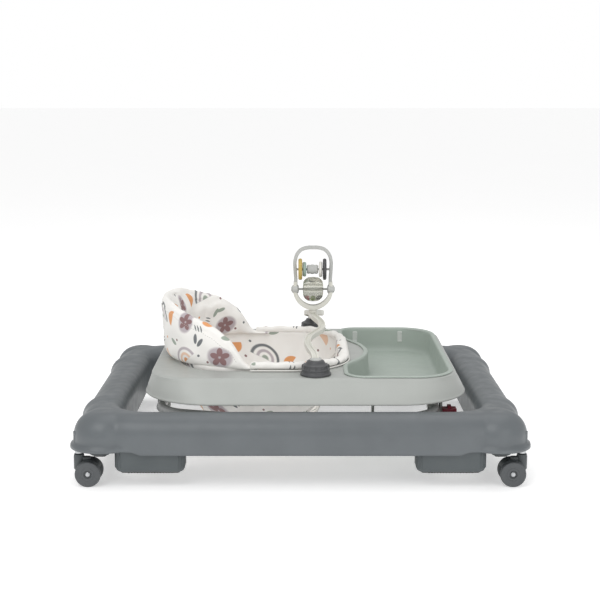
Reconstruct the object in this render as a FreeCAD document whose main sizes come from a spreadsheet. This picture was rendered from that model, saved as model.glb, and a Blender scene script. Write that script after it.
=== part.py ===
import FreeCAD, Part
import math
import os
import re
import Sketcher

doc = FreeCAD.newDocument("baby_walker")
sheet = doc.addObject("Spreadsheet::Sheet", "Sizes")

# Driving dimensions, millimetres. +X is the tray end, +Z is up, the floor is Z = 0.
SIZES = {
    # base ring
    "overall_length": 710, "overall_width": 600, "flange_overhang": 10, "side_overhang": 8,
    "ring_band": 59, "ring_bottom": 53, "ring_top": 112, "base_wall": 3,
    "ring_corner": 95, "hole_corner": 48, "crest_outer": 32, "crest_inner": 22,
    "pod_radius": 52, "pod_inset": 6, "pod_bottom": 58, "pod_lip": 6, "pod_top": 113, "pod_crown": 36,
    "knuckle_radius": 33, "knuckle_place": 158, "knuckle_top": 108, "knuckle_crown": 26,
    # stair blocks under the ring
    "block_length": 108, "block_depth": 38, "block_gap": 3, "block_bottom": 24, "block_top": 66,
    "block_corner": 12, "block_wall": 4, "long_block_place": 229.5, "short_block_place": 155,
    "short_block_length": 88,
    "strip_height": 3, "strip_margin": 8, "boss_radius": 6, "screw_spacing": 56, "screw_radius": 2,
    # castors
    "wheel_radius": 20, "wheel_width": 7, "wheel_gap": 22, "castor_trail": 15, "castor_side_inset": 38,
    "castor_end_inset": 15, "stem_radius": 4, "collar_radius": 6.25, "collar_height": 6, "fork_boss": 6,
    "axle_radius": 2, "sleeve_radius": 4.5, "fork_width": 18, "fork_disc": 16, "fork_top": 50,
    # folding legs
    "leg_length": 438.3, "tube_radius": 8, "tube_wall": 1.5, "outer_arm": 212, "inner_arm": 190,
    "leg_bend": 40, "rear_pivot": 224, "low_pivot": 62, "high_pivot": 95.5, "lift": 228,
    "pin_radius": 4, "pin_head": 7, "tube_end": 12, "stub_radius": 5, "roller_wall": 1.5,
    "roller_width": 18, "rail_width": 20, "rail_height": 26, "leg_gap": 0.5,
    "bracket_length": 16, "saddle_width": 14, "saddle_place": 108,
    "saddle_length": 20,
    # tray
    "tray_rear": 251, "tray_front": 267, "tray_half": 240, "tray_bottom": 118, "tray_top": 155,
    "tray_wall": 3, "tray_corner": 112, "lean_side": 28, "lean_rear": 11, "lean_front": 16,
    "seat_hole_rear": 200, "seat_hole_front": 75, "seat_hole_half": 160, "seat_hole_corner": 90,
    "collar_drop": 28, "insert_rear": 74, "insert_front": 240, "insert_half": 204, "insert_corner": 58,
    "insert_bottom": 111.5, "insert_wall": 2.5, "insert_rim": 5, "rim_height": 2.5, "insert_arc": 168,
    "insert_arc_place": 55, "tab_width": 9, "tab_height": 20, "tab_thick": 1.6, "tab_spacing": 84,
    "tab_middle": 144,
    "trigger_place": 236, "trigger_length": 22, "trigger_depth": 18.5, "trigger_height": 10,
    "trigger_bottom": 91.5, "trigger_inset": 10, "trigger_travel": 5, "trigger_room": 0.5,
    "tongue": 6, "tongue_height": 4,
    # seat
    "back_place": 70, "back_inner": 141, "back_outer": 165, "board_radius": 154, "board_wall": 2.5,
    "back_top": 268, "wing_top": 166, "wing_front": 84, "wing_step": 209, "board_drop": 26,
    "board_height": 72, "board_room": 100,
    "sling_wall": 3, "sling_bottom": 40, "sling_gap": 7, "sling_corner": 78, "sling_floor_half": 84,
    "leg_hole_radius": 44, "leg_hole_place": 52, "rim_pad_width": 18,
    "rim_pad_top": 165, "rim_pad_overlap": 12,
    # toy bar
    "dome_side": 185, "dome_place": 24, "dome_radius": 24.5, "dome_top": 179, "dome_crown": 15,
    "toy_place": 21.5, "arch_radius": 4.5, "arch_swing": 12, "socket_room": 1, "hub_radius": 7,
    "hub_bottom": 213, "hub_top": 227.5, "yoke_outer": 33.5, "yoke_inner": 26.5, "yoke_width": 12,
    "toy_axis": 263, "yoke_rise": 12, "spigot_radius": 3,
    "knob_radius": 8, "knob_place": 30.5, "drum_radius": 20.5, "drum_half": 17, "drum_wall": 1.5,
    "drum_end": 15, "bead_radius": 4, "bead_gap": 2.6, "bar_height": 297, "loop_half": 30,
    "loop_centre": 304, "loop_radius": 3, "roller_half": 9.6, "toy_roller_radius": 8.3,
    "disc_radius": 18.5, "inner_disc": 13.5,
    "disc_width": 7, "roller_offset": 1, "roller_gap": 0.6,
    # clearances
    "fit": 0.05, "slide_fit": 0.3, "seat_fit": 0.4,
}
for row, (alias, number) in enumerate(SIZES.items(), start=1):
    sheet.set(f"A{row}", alias)
    sheet.set(f"B{row}", str(number))
    sheet.setAlias(f"B{row}", alias)
doc.recompute()

ALIAS = re.compile(r"\b(" + "|".join(sorted(SIZES, key=len, reverse=True)) + r")\b")
SIDES = (1, -1)
SIDE_NAME = {1: "left", -1: "right"}
END_NAME = {1: "front", -1: "rear"}
nodes = []


def bound(text):
    """A size written with the sheet's names, as an expression of the sheet's cells."""
    return ALIAS.sub(r"Sizes.\1", text)


def value(text):
    """The number that a size has now."""
    return float(sheet.evalExpression(ALIAS.sub(r"\1", str(text))))


def bind(obj, prop, text):
    obj.setExpression(prop, bound(str(text)))


def place(obj, x="0", y="0", z="0"):
    for axis, text in zip("xyz", (x, y, z)):
        bind(obj, f"Placement.Base.{axis}", text)


def keep(obj, label):
    """Name a finished sub-part."""
    obj.Label = label
    nodes.append(obj)
    return obj


# ---------------------------------------------------------------- primitives
def box(x, y, z, length, width, height):
    """A block centred on x and y that stands on z."""
    block = doc.addObject("Part::Box", "block")
    bind(block, "Length", length)
    bind(block, "Width", width)
    bind(block, "Height", height)
    place(block, f"({x}) - ({length})/2", f"({y}) - ({width})/2", z)
    return block


TURN = {
    "X": FreeCAD.Rotation(FreeCAD.Vector(0, 1, 0), 90),
    "Y": FreeCAD.Rotation(FreeCAD.Vector(-1, 0, 0), 90),
    "Z": FreeCAD.Rotation(),
}


def rod(axis, x, y, z, radius, length):
    """A cylinder that starts at x, y, z and runs along an axis."""
    cylinder = doc.addObject("Part::Cylinder", "rod")
    bind(cylinder, "Radius", radius)
    bind(cylinder, "Height", length)
    cylinder.Placement = FreeCAD.Placement(FreeCAD.Vector(), TURN[axis])
    place(cylinder, x, y, z)
    return cylinder


def middle_rod(axis, x, y, z, radius, length):
    """A cylinder whose middle is at x, y, z."""
    start = {"X": x, "Y": y, "Z": z}
    start[axis] = f"({start[axis]}) - ({length})/2"
    return rod(axis, start["X"], start["Y"], start["Z"], radius, length)


def ball(x, y, z, radius):
    sphere = doc.addObject("Part::Sphere", "ball")
    bind(sphere, "Radius", radius)
    place(sphere, x, y, z)
    return sphere


def join(*shapes):
    if len(shapes) == 1:
        return shapes[0]
    fused = doc.addObject("Part::MultiFuse", "joined")
    fused.Shapes = list(shapes)
    fused.Refine = True
    return fused


def group(*shapes):
    """Separate solids that share one sub-part."""
    compound = doc.addObject("Part::Compound", "group")
    compound.Links = list(shapes)
    return compound


def cut(base, *tools):
    result = doc.addObject("Part::Cut", "cut")
    result.Base = base
    result.Tool = join(*tools)
    return result


def common(first, second):
    result = doc.addObject("Part::Common", "common")
    result.Base = first
    result.Tool = second
    return result


def crowned_rod(x, y, z, radius, length, crown):
    """An upright cylinder with a rounded top edge."""
    stem = rod("Z", x, y, z, radius, length)
    doc.recompute()
    rounded = doc.addObject("Part::Fillet", "crowned")
    rounded.Base = stem
    top = max(range(len(stem.Shape.Edges)), key=lambda n: stem.Shape.Edges[n].BoundBox.ZMin)
    rounded.Edges = [(top + 1, value(crown), value(crown))]
    return rounded


# ---------------------------------------------------------------- sketched bodies
def new_body(name):
    return doc.addObject("PartDesign::Body", name)


def sketch_on(body, role, offset="0"):
    plane = next(f for f in body.Origin.OriginFeatures if f.Role == role)
    sketch = body.newObject("Sketcher::SketchObject", "sketch")
    sketch.AttachmentSupport = [(plane, "")]
    sketch.MapMode = "FlatFace"
    sketch.setExpression("AttachmentOffset.Base.z", bound(offset))
    return sketch


def constrain(sketch, kind, *where, text):
    index = sketch.addConstraint(Sketcher.Constraint(kind, *where, value(text)))
    sketch.setExpression(f"Constraints[{index}]", bound(text))


def outline(sketch, points):
    """A closed outline of straight edges through points given as pairs of sizes."""
    corners = [FreeCAD.Vector(value(u), value(w), 0) for u, w in points]
    first = sketch.GeometryCount
    count = len(corners)
    for n in range(count):
        sketch.addGeometry(Part.LineSegment(corners[n], corners[(n + 1) % count]), False)
    for n in range(count):
        sketch.addConstraint(Sketcher.Constraint("Coincident", first + n, 2, first + (n + 1) % count, 1))
    for n, (u, w) in enumerate(points):
        constrain(sketch, "DistanceX", -1, 1, first + n, 1, text=u)
        constrain(sketch, "DistanceY", -1, 1, first + n, 1, text=w)


def rectangle(x_low, x_high, y_half):
    return [(x_low, f"-({y_half})"), (x_high, f"-({y_half})"), (x_high, y_half), (x_low, y_half)]


def rounded_outline(sketch, x_low, x_high, y_half, radius):
    """A closed rectangle with equal round corners, every corner tied to its sizes."""
    right, left = f"{x_high} - ({radius})", f"{x_low} + {radius}"
    near, far = f"-({y_half} - ({radius}))", f"{y_half} - ({radius})"
    centres = [(right, near), (right, far), (left, far), (left, near)]
    bend = value(radius)
    spots = [FreeCAD.Vector(value(u), value(w), 0) for u, w in centres]
    for quarter, spot in enumerate(spots):
        start = (quarter - 1) * math.pi / 2
        circle = Part.Circle(spot, FreeCAD.Vector(0, 0, 1), bend)
        sketch.addGeometry(Part.ArcOfCircle(circle, start, start + math.pi / 2), False)
    for quarter, spot in enumerate(spots):
        out = FreeCAD.Vector(math.cos(quarter * math.pi / 2), math.sin(quarter * math.pi / 2), 0) * bend
        sketch.addGeometry(Part.LineSegment(spot + out, spots[(quarter + 1) % 4] + out), False)
    for quarter in range(4):
        sketch.addConstraint(Sketcher.Constraint("Tangent", quarter, 2, quarter + 4, 1))
        sketch.addConstraint(Sketcher.Constraint("Tangent", quarter + 4, 2, (quarter + 1) % 4, 1))
    for quarter, (u, w) in enumerate(centres):
        constrain(sketch, "DistanceX", -1, 1, quarter, 3, text=u)
        constrain(sketch, "DistanceY", -1, 1, quarter, 3, text=w)
        constrain(sketch, "Radius", quarter, text=radius)


def pad(body, sketch, height):
    feature = body.newObject("PartDesign::Pad", "pad")
    feature.Profile = sketch
    bind(feature, "Length", height)
    doc.recompute()
    return feature


def fillet(body, edges, radius):
    feature = body.newObject("PartDesign::Fillet", "fillet")
    feature.Base = (body.Tip if body.Tip != feature else feature.BaseFeature, edges)
    bind(feature, "Radius", radius)
    doc.recompute()
    return feature


def upright_edges(shape, test=lambda middle: True):
    """Names of the edges that climb, chosen by their middle point."""
    names = []
    for n, edge in enumerate(shape.Edges, start=1):
        box_z = edge.BoundBox
        climbs = box_z.ZLength > 0.8 * shape.BoundBox.ZLength
        if climbs and test(edge.CenterOfMass):
            names.append(f"Edge{n}")
    return names


def top_edges(shape, test=lambda edge: True):
    top = shape.BoundBox.ZMax
    return [f"Edge{n}" for n, edge in enumerate(shape.Edges, start=1)
            if abs(edge.BoundBox.ZMin - top) < 1e-4 and test(edge)]


def spun(name, role, axis, points, at):
    """A solid of revolution. Its outline is in the plane of role, about the sketch's axis."""
    body = new_body(name)
    sketch = sketch_on(body, role)
    outline(sketch, points)
    feature = body.newObject("PartDesign::Revolution", "spin")
    feature.Profile = sketch
    feature.ReferenceAxis = (sketch, [axis])
    feature.Angle = 360
    place(body, *at)
    doc.recompute()
    return body


# ---------------------------------------------------------------- base ring
RING_X = "(overall_length/2 - flange_overhang)"
RING_Y = "(overall_width/2 - side_overhang)"
HOLE_X = f"({RING_X} - ring_band - 6)"
HOLE_Y = f"({RING_Y} - ring_band)"
CASTOR_X = "(overall_length/2 - castor_end_inset)"
CASTOR_Y = "(overall_width/2 - castor_side_inset)"
BRACKET_DEPTH = f"({HOLE_Y} - outer_arm - tube_radius - leg_gap)"
ROLLER_RADIUS = "(tube_radius + roller_wall)"
TRIGGER_OUT = "(insert_half - trigger_inset)"
TRIGGER_Y = f"({TRIGGER_OUT} - trigger_depth/2)"
UPPER_RAIL_Y = f"({TRIGGER_OUT} - trigger_depth - trigger_travel - trigger_room - rail_width/2)"


def ring_form(name, inset, bottom, top):
    """The ring as a solid bar; a positive inset gives the hollow inside its walls."""
    body = new_body(name)
    sketch = sketch_on(body, "XY_Plane", bottom)
    outline(sketch, rectangle(f"-({RING_X} - {inset})", f"{RING_X} - {inset}", f"{RING_Y} - {inset}"))
    outline(sketch, rectangle(f"-({HOLE_X} + {inset})", f"{HOLE_X} + {inset}", f"{HOLE_Y} + {inset}"))
    pad(body, sketch, f"{top} - {bottom}")
    between = value(f"({RING_X} + {HOLE_X})/2")
    outer = upright_edges(body.Shape, lambda middle: abs(middle.x) > between)
    fillet(body, outer, f"ring_corner - {inset}")
    inner = upright_edges(body.Shape, lambda middle: abs(middle.x) < value(f"{HOLE_X} + {inset}") + 0.1)
    fillet(body, inner, f"hole_corner + {inset}")
    half = value(f"({RING_Y} + {HOLE_Y})/2")

    def is_outer(edge):
        point = edge.CenterOfMass
        return abs(point.x) > between or abs(point.y) > half

    fillet(body, top_edges(body.Shape, is_outer), f"crest_outer - {inset}")
    fillet(body, top_edges(body.Shape, lambda edge: not is_outer(edge)), f"crest_inner - {inset}")
    return body


POD_X = "(overall_length/2 - pod_radius)"
POD_Y = "(overall_width/2 - pod_radius)"
KNUCKLE_X = f"({RING_X} + 4 - knuckle_radius)"


def corner_pods(inset, low, spread):
    """Domed corners and knuckles of the ring, or the hollow inside them."""
    pieces = []
    for sx in SIDES:
        for sy in SIDES:
            pieces.append(crowned_rod(f"{sx}*{POD_X}", f"{sy}*{POD_Y}", low,
                                      f"pod_radius - pod_inset - {inset}",
                                      f"pod_top - {inset} - ({low})", f"pod_crown - {inset}"))
            pieces.append(crowned_rod(f"{sx}*{KNUCKLE_X}", f"{sy}*knuckle_place", spread,
                                      f"knuckle_radius - {inset}", f"knuckle_top - {inset} - ({spread})",
                                      f"knuckle_crown - {inset}"))
    return pieces


def floor_block_places():
    """Name, x, y, length along x and width along y of each block under the ring."""
    places = []
    side_mid = f"({RING_Y} - base_wall - block_gap - block_depth/2)"
    end_mid = f"({RING_X} - base_wall - block_gap - block_depth/2)"
    for sx in SIDES:
        for sy in SIDES:
            where = f"{END_NAME[sx]}_{SIDE_NAME[sy]}"
            places.append((f"stair_block_side_{where}", f"{sx}*long_block_place", f"{sy}*{side_mid}",
                           "block_length", "block_depth", True))
            places.append((f"stair_block_end_{where}", f"{sx}*{end_mid}", f"{sy}*short_block_place",
                           "block_depth", "short_block_length", False))
    return places


def screw_points(spot):
    """The two screws that hold a block."""
    _, x, y, _, _, lengthways = spot
    points = []
    for side in SIDES:
        shift = f"{side}*screw_spacing/2"
        points.append((f"({x}) + {shift}", y) if lengthways else (x, f"({y}) + {shift}"))
    return points


def make_base():
    outer = ring_form("ring_bar", "0", "ring_bottom", "ring_top")
    hollow = ring_form("ring_hollow", "base_wall", "ring_bottom - 1", "ring_top - base_wall")
    flanges = []
    bosses = []
    bores = []
    for sx in SIDES:
        for sy in SIDES:
            flanges.append(rod("Z", f"{sx}*{POD_X}", f"{sy}*{POD_Y}", "pod_bottom", "pod_radius",
                               "pod_lip"))
            bosses.append(rod("Z", f"{sx}*{CASTOR_X}", f"{sy}*{CASTOR_Y}", "pod_bottom", "stem_radius + 4",
                              "30"))
            bores.append(rod("Z", f"{sx}*{CASTOR_X}", f"{sy}*{CASTOR_Y}", "pod_bottom - 1",
                             "stem_radius + fit", "27"))
    screw_bosses = []
    for spot in floor_block_places():
        for x, y in screw_points(spot):
            screw_bosses.append(rod("Z", x, y, "block_top", "boss_radius",
                                    "ring_top - base_wall - 1 - block_top"))
            bores.append(rod("Z", x, y, "block_top - 1", "screw_radius + fit", "20"))
    inner_side = box("0", "0", "pod_bottom - 1", f"2*({HOLE_X} + 8)", f"2*({HOLE_Y} + 8)", "pod_lip + 2")
    lips = cut(join(*flanges), inner_side)
    skin = join(outer, *corner_pods("0", "pod_bottom", "ring_bottom"), lips)
    walls = cut(skin, hollow, *corner_pods("base_wall", "pod_bottom - 1", "ring_bottom - 1"))
    inside = common(join(*bosses, *screw_bosses), skin)
    keep(cut(join(walls, inside), *bores), "base_shell")


def make_floor_blocks():
    strips = []
    screws = []
    for spot in floor_block_places():
        name, x, y, length, width, _ = spot
        body = new_body("block_form")
        sketch = sketch_on(body, "XY_Plane")
        outline(sketch, rectangle(f"-({length})/2", f"({length})/2", f"({width})/2"))
        pad(body, sketch, "block_top - block_bottom")
        fillet(body, upright_edges(body.Shape), "block_corner")
        place(body, x, y, "block_bottom")
        room = box(x, y, "block_bottom + block_wall", f"{length} - 2*block_wall", f"{width} - 2*block_wall",
                   "block_top - block_bottom - 2*block_wall")
        holes = [rod("Z", px, py, "block_bottom - 1", "screw_radius + 2",
                     "block_top - block_bottom - block_wall + 1")
                 for px, py in screw_points(spot)]
        holes += [rod("Z", px, py, "block_bottom", "screw_radius + fit", "block_top - block_bottom + 1")
                  for px, py in screw_points(spot)]
        keep(cut(body, room, *holes), name)
        strips.append(box(x, y, "block_bottom - strip_height",
                          f"{length} - 2*strip_margin - screw_spacing/3",
                          f"{width} - 2*strip_margin - 6", "strip_height"))
        for px, py in screw_points(spot):
            head = rod("Z", px, py, "block_top - block_wall - 2", "screw_radius + 1.8", "2")
            shank = rod("Z", px, py, "block_top - block_wall - 1", "screw_radius", "block_wall + 17")
            screws.append(join(head, shank))
    keep(group(*strips), "grip_strips")
    keep(group(*screws), "block_screws")


# ---------------------------------------------------------------- castors
def make_castor(sx, sy):
    where = f"{END_NAME[sx]}_{SIDE_NAME[sy]}"
    x = f"{sx}*{CASTOR_X}"
    y = f"{sy}*{CASTOR_Y}"
    hub = f"{sx}*({CASTOR_X} - castor_trail)"
    pin = rod("Z", x, y, "fork_top - 12", "stem_radius", "pod_bottom + 24 - fork_top + 12")
    collar = rod("Z", x, y, "fork_top + slide_fit", "collar_radius", "collar_height")
    keep(join(pin, collar), f"castor_stem_{where}")
    boss = rod("Z", x, y, "fork_top - 26", "fork_boss", "26")
    web = middle_rod("Y", hub, y, "wheel_radius", "fork_disc", "fork_width")
    arm = box(f"{sx}*({CASTOR_X} - castor_trail/2 - 1)", y, "wheel_radius", "castor_trail + 4", "8",
              "fork_top - wheel_radius - 10")
    sleeve_bore = middle_rod("Y", hub, y, "wheel_radius", "sleeve_radius + fit", "fork_width + 2")
    stem_bore = rod("Z", x, y, "fork_top - 12 - fit", "stem_radius + fit", "13")
    keep(cut(join(boss, web, arm), sleeve_bore, stem_bore), f"castor_fork_{where}")
    half_gap = "wheel_gap/2"
    outside = "(wheel_gap/2 + wheel_width)"
    wheel = spun(f"wheels_{where}", "XY_Plane", "V_Axis", [
        ("axle_radius + fit", f"-{outside} + 1.5"), ("6", f"-{outside} + 1.5"), ("6", f"-{outside} + 0.6"),
        ("wheel_radius - 3", f"-{outside}"), ("wheel_radius - 0.8", f"-{outside} + 0.8"),
        ("wheel_radius", f"-{outside} + 2.6"), ("wheel_radius", f"-{half_gap} - 1.2"),
        ("wheel_radius - 1.2", f"-{half_gap}"), ("sleeve_radius", f"-{half_gap}"),
        ("sleeve_radius", half_gap), ("wheel_radius - 1.2", half_gap), ("wheel_radius",
                                                                        f"{half_gap} + 1.2"),
        ("wheel_radius", f"{outside} - 2.6"), ("wheel_radius - 0.8", f"{outside} - 0.8"),
        ("wheel_radius - 3", outside), ("6", f"{outside} - 0.6"), ("6", f"{outside} - 1.5"),
        ("axle_radius + fit", f"{outside} - 1.5"),
    ], (hub, y, "wheel_radius"))
    keep(wheel, f"castor_wheels_{where}")
    keep(middle_rod("Y", hub, y, "wheel_radius", "axle_radius", f"2*{outside} - 0.8"),
         f"castor_axle_{where}")


# ---------------------------------------------------------------- folding legs
RISE = "(high_pivot - low_pivot)"
REST_RUN = f"sqrt(leg_length^2 - {RISE}^2)"
LIFTED_RUN = f"sqrt(leg_length^2 - ({RISE} + lift)^2)"
SLIDER_REST = f"({REST_RUN} - rear_pivot)"
SLIDER_LIFTED = f"({LIFTED_RUN} - rear_pivot)"
REST_ANGLE = f"asin({RISE}/leg_length)"
CROSS_X = f"({REST_RUN}/2 - rear_pivot)"
CROSS_Z = f"((low_pivot + high_pivot)/2)"


def quarter_bend(sy, half, radius):
    """A quarter of a torus at a corner of the bent tube."""
    bend = doc.addObject("Part::Torus", "bend")
    bind(bend, "Radius1", "leg_bend")
    bind(bend, "Radius2", radius)
    bend.Angle3 = 90
    turn = {1: 0, -1: 270}[sy]
    bend.Placement = FreeCAD.Placement(FreeCAD.Vector(), FreeCAD.Rotation(FreeCAD.Vector(0, 0, 1), turn))
    place(bend, "-leg_bend", f"{sy}*({half} - leg_bend)")
    return bend


def bent_bar(half, radius, extra="0"):
    """A U of round bar: the cross bar is on the Y axis and the arms run along -X."""
    pieces = [middle_rod("Y", "0", "0", "0", radius, f"2*({half} - leg_bend)")]
    length = f"(leg_length + tube_end + {extra} - leg_bend)"
    for sy in SIDES:
        pieces.append(quarter_bend(sy, half, radius))
        pieces.append(middle_rod("X", f"-(leg_bend + {length}/2)", f"{sy}*{half}", "0", radius, length))
    return join(*pieces)


def make_leg(label, sx, half, end_pin, at_x):
    """A bent tube with its cross bar at at_x; its arms slope down towards sx."""
    tube = bent_bar(half, "tube_radius")
    bore = bent_bar(half, "(tube_radius - tube_wall)", "1")
    width = f"2*{half} + 40"
    centre_hole = middle_rod("Y", "-leg_length/2", "0", "0", "pin_radius + fit", width)
    end_hole = middle_rod("Y", "-leg_length", "0", "0", f"{end_pin} + fit", width)
    leg = cut(tube, bore, centre_hole, end_hole)
    if sx > 0:
        leg.Placement = FreeCAD.Placement(FreeCAD.Vector(), FreeCAD.Rotation(FreeCAD.Vector(0, 0, 1), 180))
        leg = group(leg)
    leg.Placement = FreeCAD.Placement(FreeCAD.Vector(), FreeCAD.Rotation(FreeCAD.Vector(0, sx, 0), 10))
    bind(leg, "Placement.Rotation.Angle", REST_ANGLE)
    place(leg, at_x, "0", "high_pivot")
    keep(leg, label)


def headed_pin(x, z, y_start, y_end, head, sy, radius="pin_radius"):
    """A pin across the frame from y_start out to y_end, with its head on the inner end."""
    length = f"({y_end} - {y_start})"
    shank = middle_rod("Y", x, f"{sy}*({y_start} + {length}/2)", z, radius, length)
    cap = middle_rod("Y", x, f"{sy}*({y_start} + {head}/2)", z, "pin_head", head)
    return join(shank, cap)


def make_legs():
    make_leg("outer_leg", -1, "outer_arm", "pin_radius", SLIDER_REST)
    make_leg("inner_leg", 1, "inner_arm", "stub_radius", "-rear_pivot")
    rear_pins = []
    cross_pins = []
    spacers = []
    stubs = []
    lower_rollers = []
    upper_rollers = []
    wall = f"{HOLE_Y}"
    inner_face = "(inner_arm - tube_radius)"
    for sy in SIDES:
        rear_pins.append(headed_pin("-rear_pivot", "low_pivot", "outer_arm - tube_radius - 3.5",
                                    f"{wall} - 2", "3.2", sy))
        cross_pins.append(headed_pin(CROSS_X, CROSS_Z, f"{inner_face} - 3.5", "outer_arm + tube_radius + 2",
                                     "3.2", sy))
        gap = "(outer_arm - inner_arm - 2*tube_radius - 2*slide_fit)"
        ring = middle_rod("Y", CROSS_X, f"{sy}*(outer_arm + inner_arm)/2", CROSS_Z, "tube_radius", gap)
        hole = middle_rod("Y", CROSS_X, f"{sy}*(outer_arm + inner_arm)/2", CROSS_Z, "pin_radius + fit",
                          f"{gap} + 2")
        spacers.append(cut(ring, hole))
        stubs.append(headed_pin(SLIDER_REST, "low_pivot", f"{inner_face} - 3.5", f"{wall} - 6.5", "3.2", sy,
                                "stub_radius"))
        mid = f"{sy}*({wall} - 7 - roller_width/2)"
        wheel = middle_rod("Y", SLIDER_REST, mid, "low_pivot", ROLLER_RADIUS, "roller_width")
        eye = middle_rod("Y", SLIDER_REST, mid, "low_pivot", "stub_radius + fit", "roller_width + 2")
        lower_rollers.append(cut(wheel, eye))
        mid = f"{sy}*{UPPER_RAIL_Y}"
        wheel = middle_rod("Y", SLIDER_REST, mid, "high_pivot", ROLLER_RADIUS, "roller_width")
        eye = middle_rod("Y", SLIDER_REST, mid, "high_pivot", "tube_radius + fit", "roller_width + 2")
        upper_rollers.append(cut(wheel, eye))
    keep(group(*rear_pins), "rear_pivot_pins")
    keep(group(*cross_pins), "cross_pins")
    keep(group(*spacers), "cross_spacers")
    keep(group(*stubs), "slide_pins")
    keep(group(*lower_rollers), "lower_rail_rollers")
    keep(group(*upper_rollers), "upper_rail_rollers")


def rail(y, z, width, slot_shift="0"):
    """A block with a long level slot that a roller runs in."""
    margin = f"({ROLLER_RADIUS} + slide_fit)"
    middle = f"(({SLIDER_REST} + {SLIDER_LIFTED})/2)"
    travel = f"({SLIDER_REST} - {SLIDER_LIFTED})"
    block = box(middle, y, f"{z} - rail_height/2", f"{travel} + 2*{margin} + 8", width, "rail_height")
    slot = box(middle, f"{y} + {slot_shift}", f"{z} - {margin}", f"{travel} + 2*{margin}", f"{width} + 2",
               f"2*{margin}")
    return cut(block, slot)


def make_rails_and_brackets():
    lower = []
    upper = []
    brackets = []
    saddles = []
    for sy in SIDES:
        depth = f"({HOLE_Y} - outer_arm + 8)"
        lower.append(rail(f"{sy}*({HOLE_Y} - {depth}/2)", "low_pivot", depth, f"({sy})*(-6)"))
        upper.append(rail(f"{sy}*{UPPER_RAIL_Y}", "high_pivot", "rail_width"))
        y = f"{sy}*({HOLE_Y} - {BRACKET_DEPTH}/2)"
        block = box("-rear_pivot", y, "low_pivot - rail_height/2", "bracket_length", BRACKET_DEPTH,
                    "rail_height")
        hole = middle_rod("Y", "-rear_pivot", y, "low_pivot", "pin_radius + fit", f"{BRACKET_DEPTH} + 2")
        brackets.append(cut(block, hole))
        y = f"{sy}*saddle_place"
        post = box("-rear_pivot", y, "high_pivot - tube_radius - 3.5", "saddle_length", "saddle_width",
                   "tray_top - tray_wall - high_pivot + tube_radius + 3.5")
        hole = middle_rod("Y", "-rear_pivot", y, "high_pivot", "tube_radius + fit", "saddle_width + 2")
        saddles.append(cut(post, hole))
    keep(group(*lower), "lower_rails")
    keep(group(*upper), "upper_rails")
    keep(group(*brackets), "rear_brackets")
    keep(group(*saddles), "rear_saddles")


# ---------------------------------------------------------------- tray
def tray_form(name, inset, bottom, top):
    """The tray as a solid whose walls lean in towards the deck, smaller all round by inset."""
    body = new_body(name)
    lower = sketch_on(body, "XY_Plane", bottom)
    rounded_outline(lower, f"-(tray_rear - {inset})", f"tray_front - {inset}", f"tray_half - {inset}",
                    f"tray_corner - {inset}")
    upper = sketch_on(body, "XY_Plane", top)
    rounded_outline(upper, f"-(tray_rear - lean_rear - {inset})", f"tray_front - lean_front - {inset}",
                    f"tray_half - lean_side - {inset}", f"tray_corner - {inset}")
    loft = body.newObject("PartDesign::AdditiveLoft", "loft")
    loft.Profile = lower
    loft.Sections = [upper]
    doc.recompute()
    return body


def hole_form(name, grow, bottom, top):
    """The seat opening as a solid, or a larger copy for the collar round it."""
    body = new_body(name)
    sketch = sketch_on(body, "XY_Plane", bottom)
    outline(sketch, rectangle(f"-(seat_hole_rear + {grow})", f"seat_hole_front + {grow}",
                              f"seat_hole_half + {grow}"))
    pad(body, sketch, f"{top} - ({bottom})")
    fillet(body, upright_edges(body.Shape), f"seat_hole_corner + {grow}")
    return body


def insert_form(name, grow, bottom, top):
    """The play tub's outline: a rounded block with a scoop round the seat."""
    body = new_body(name)
    sketch = sketch_on(body, "XY_Plane", bottom)
    outline(sketch, rectangle(f"insert_rear - ({grow})", f"insert_front + ({grow})",
                              f"insert_half + ({grow})"))
    pad(body, sketch, f"{top} - ({bottom})")
    fillet(body, upright_edges(body.Shape, lambda middle: middle.x > value("insert_front") - 20),
           f"insert_corner + ({grow})")
    fillet(body, upright_edges(body.Shape, lambda middle: middle.x < value("insert_rear") + 20),
           f"insert_corner/2 + ({grow})")
    scoop = rod("Z", "-insert_arc_place", "0", f"{bottom} - 1", f"insert_arc - ({grow})",
                f"{top} - ({bottom}) + 2")
    return cut(body, scoop)


TRIGGER_TOP = "(trigger_bottom + trigger_height + slide_fit)"


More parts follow.
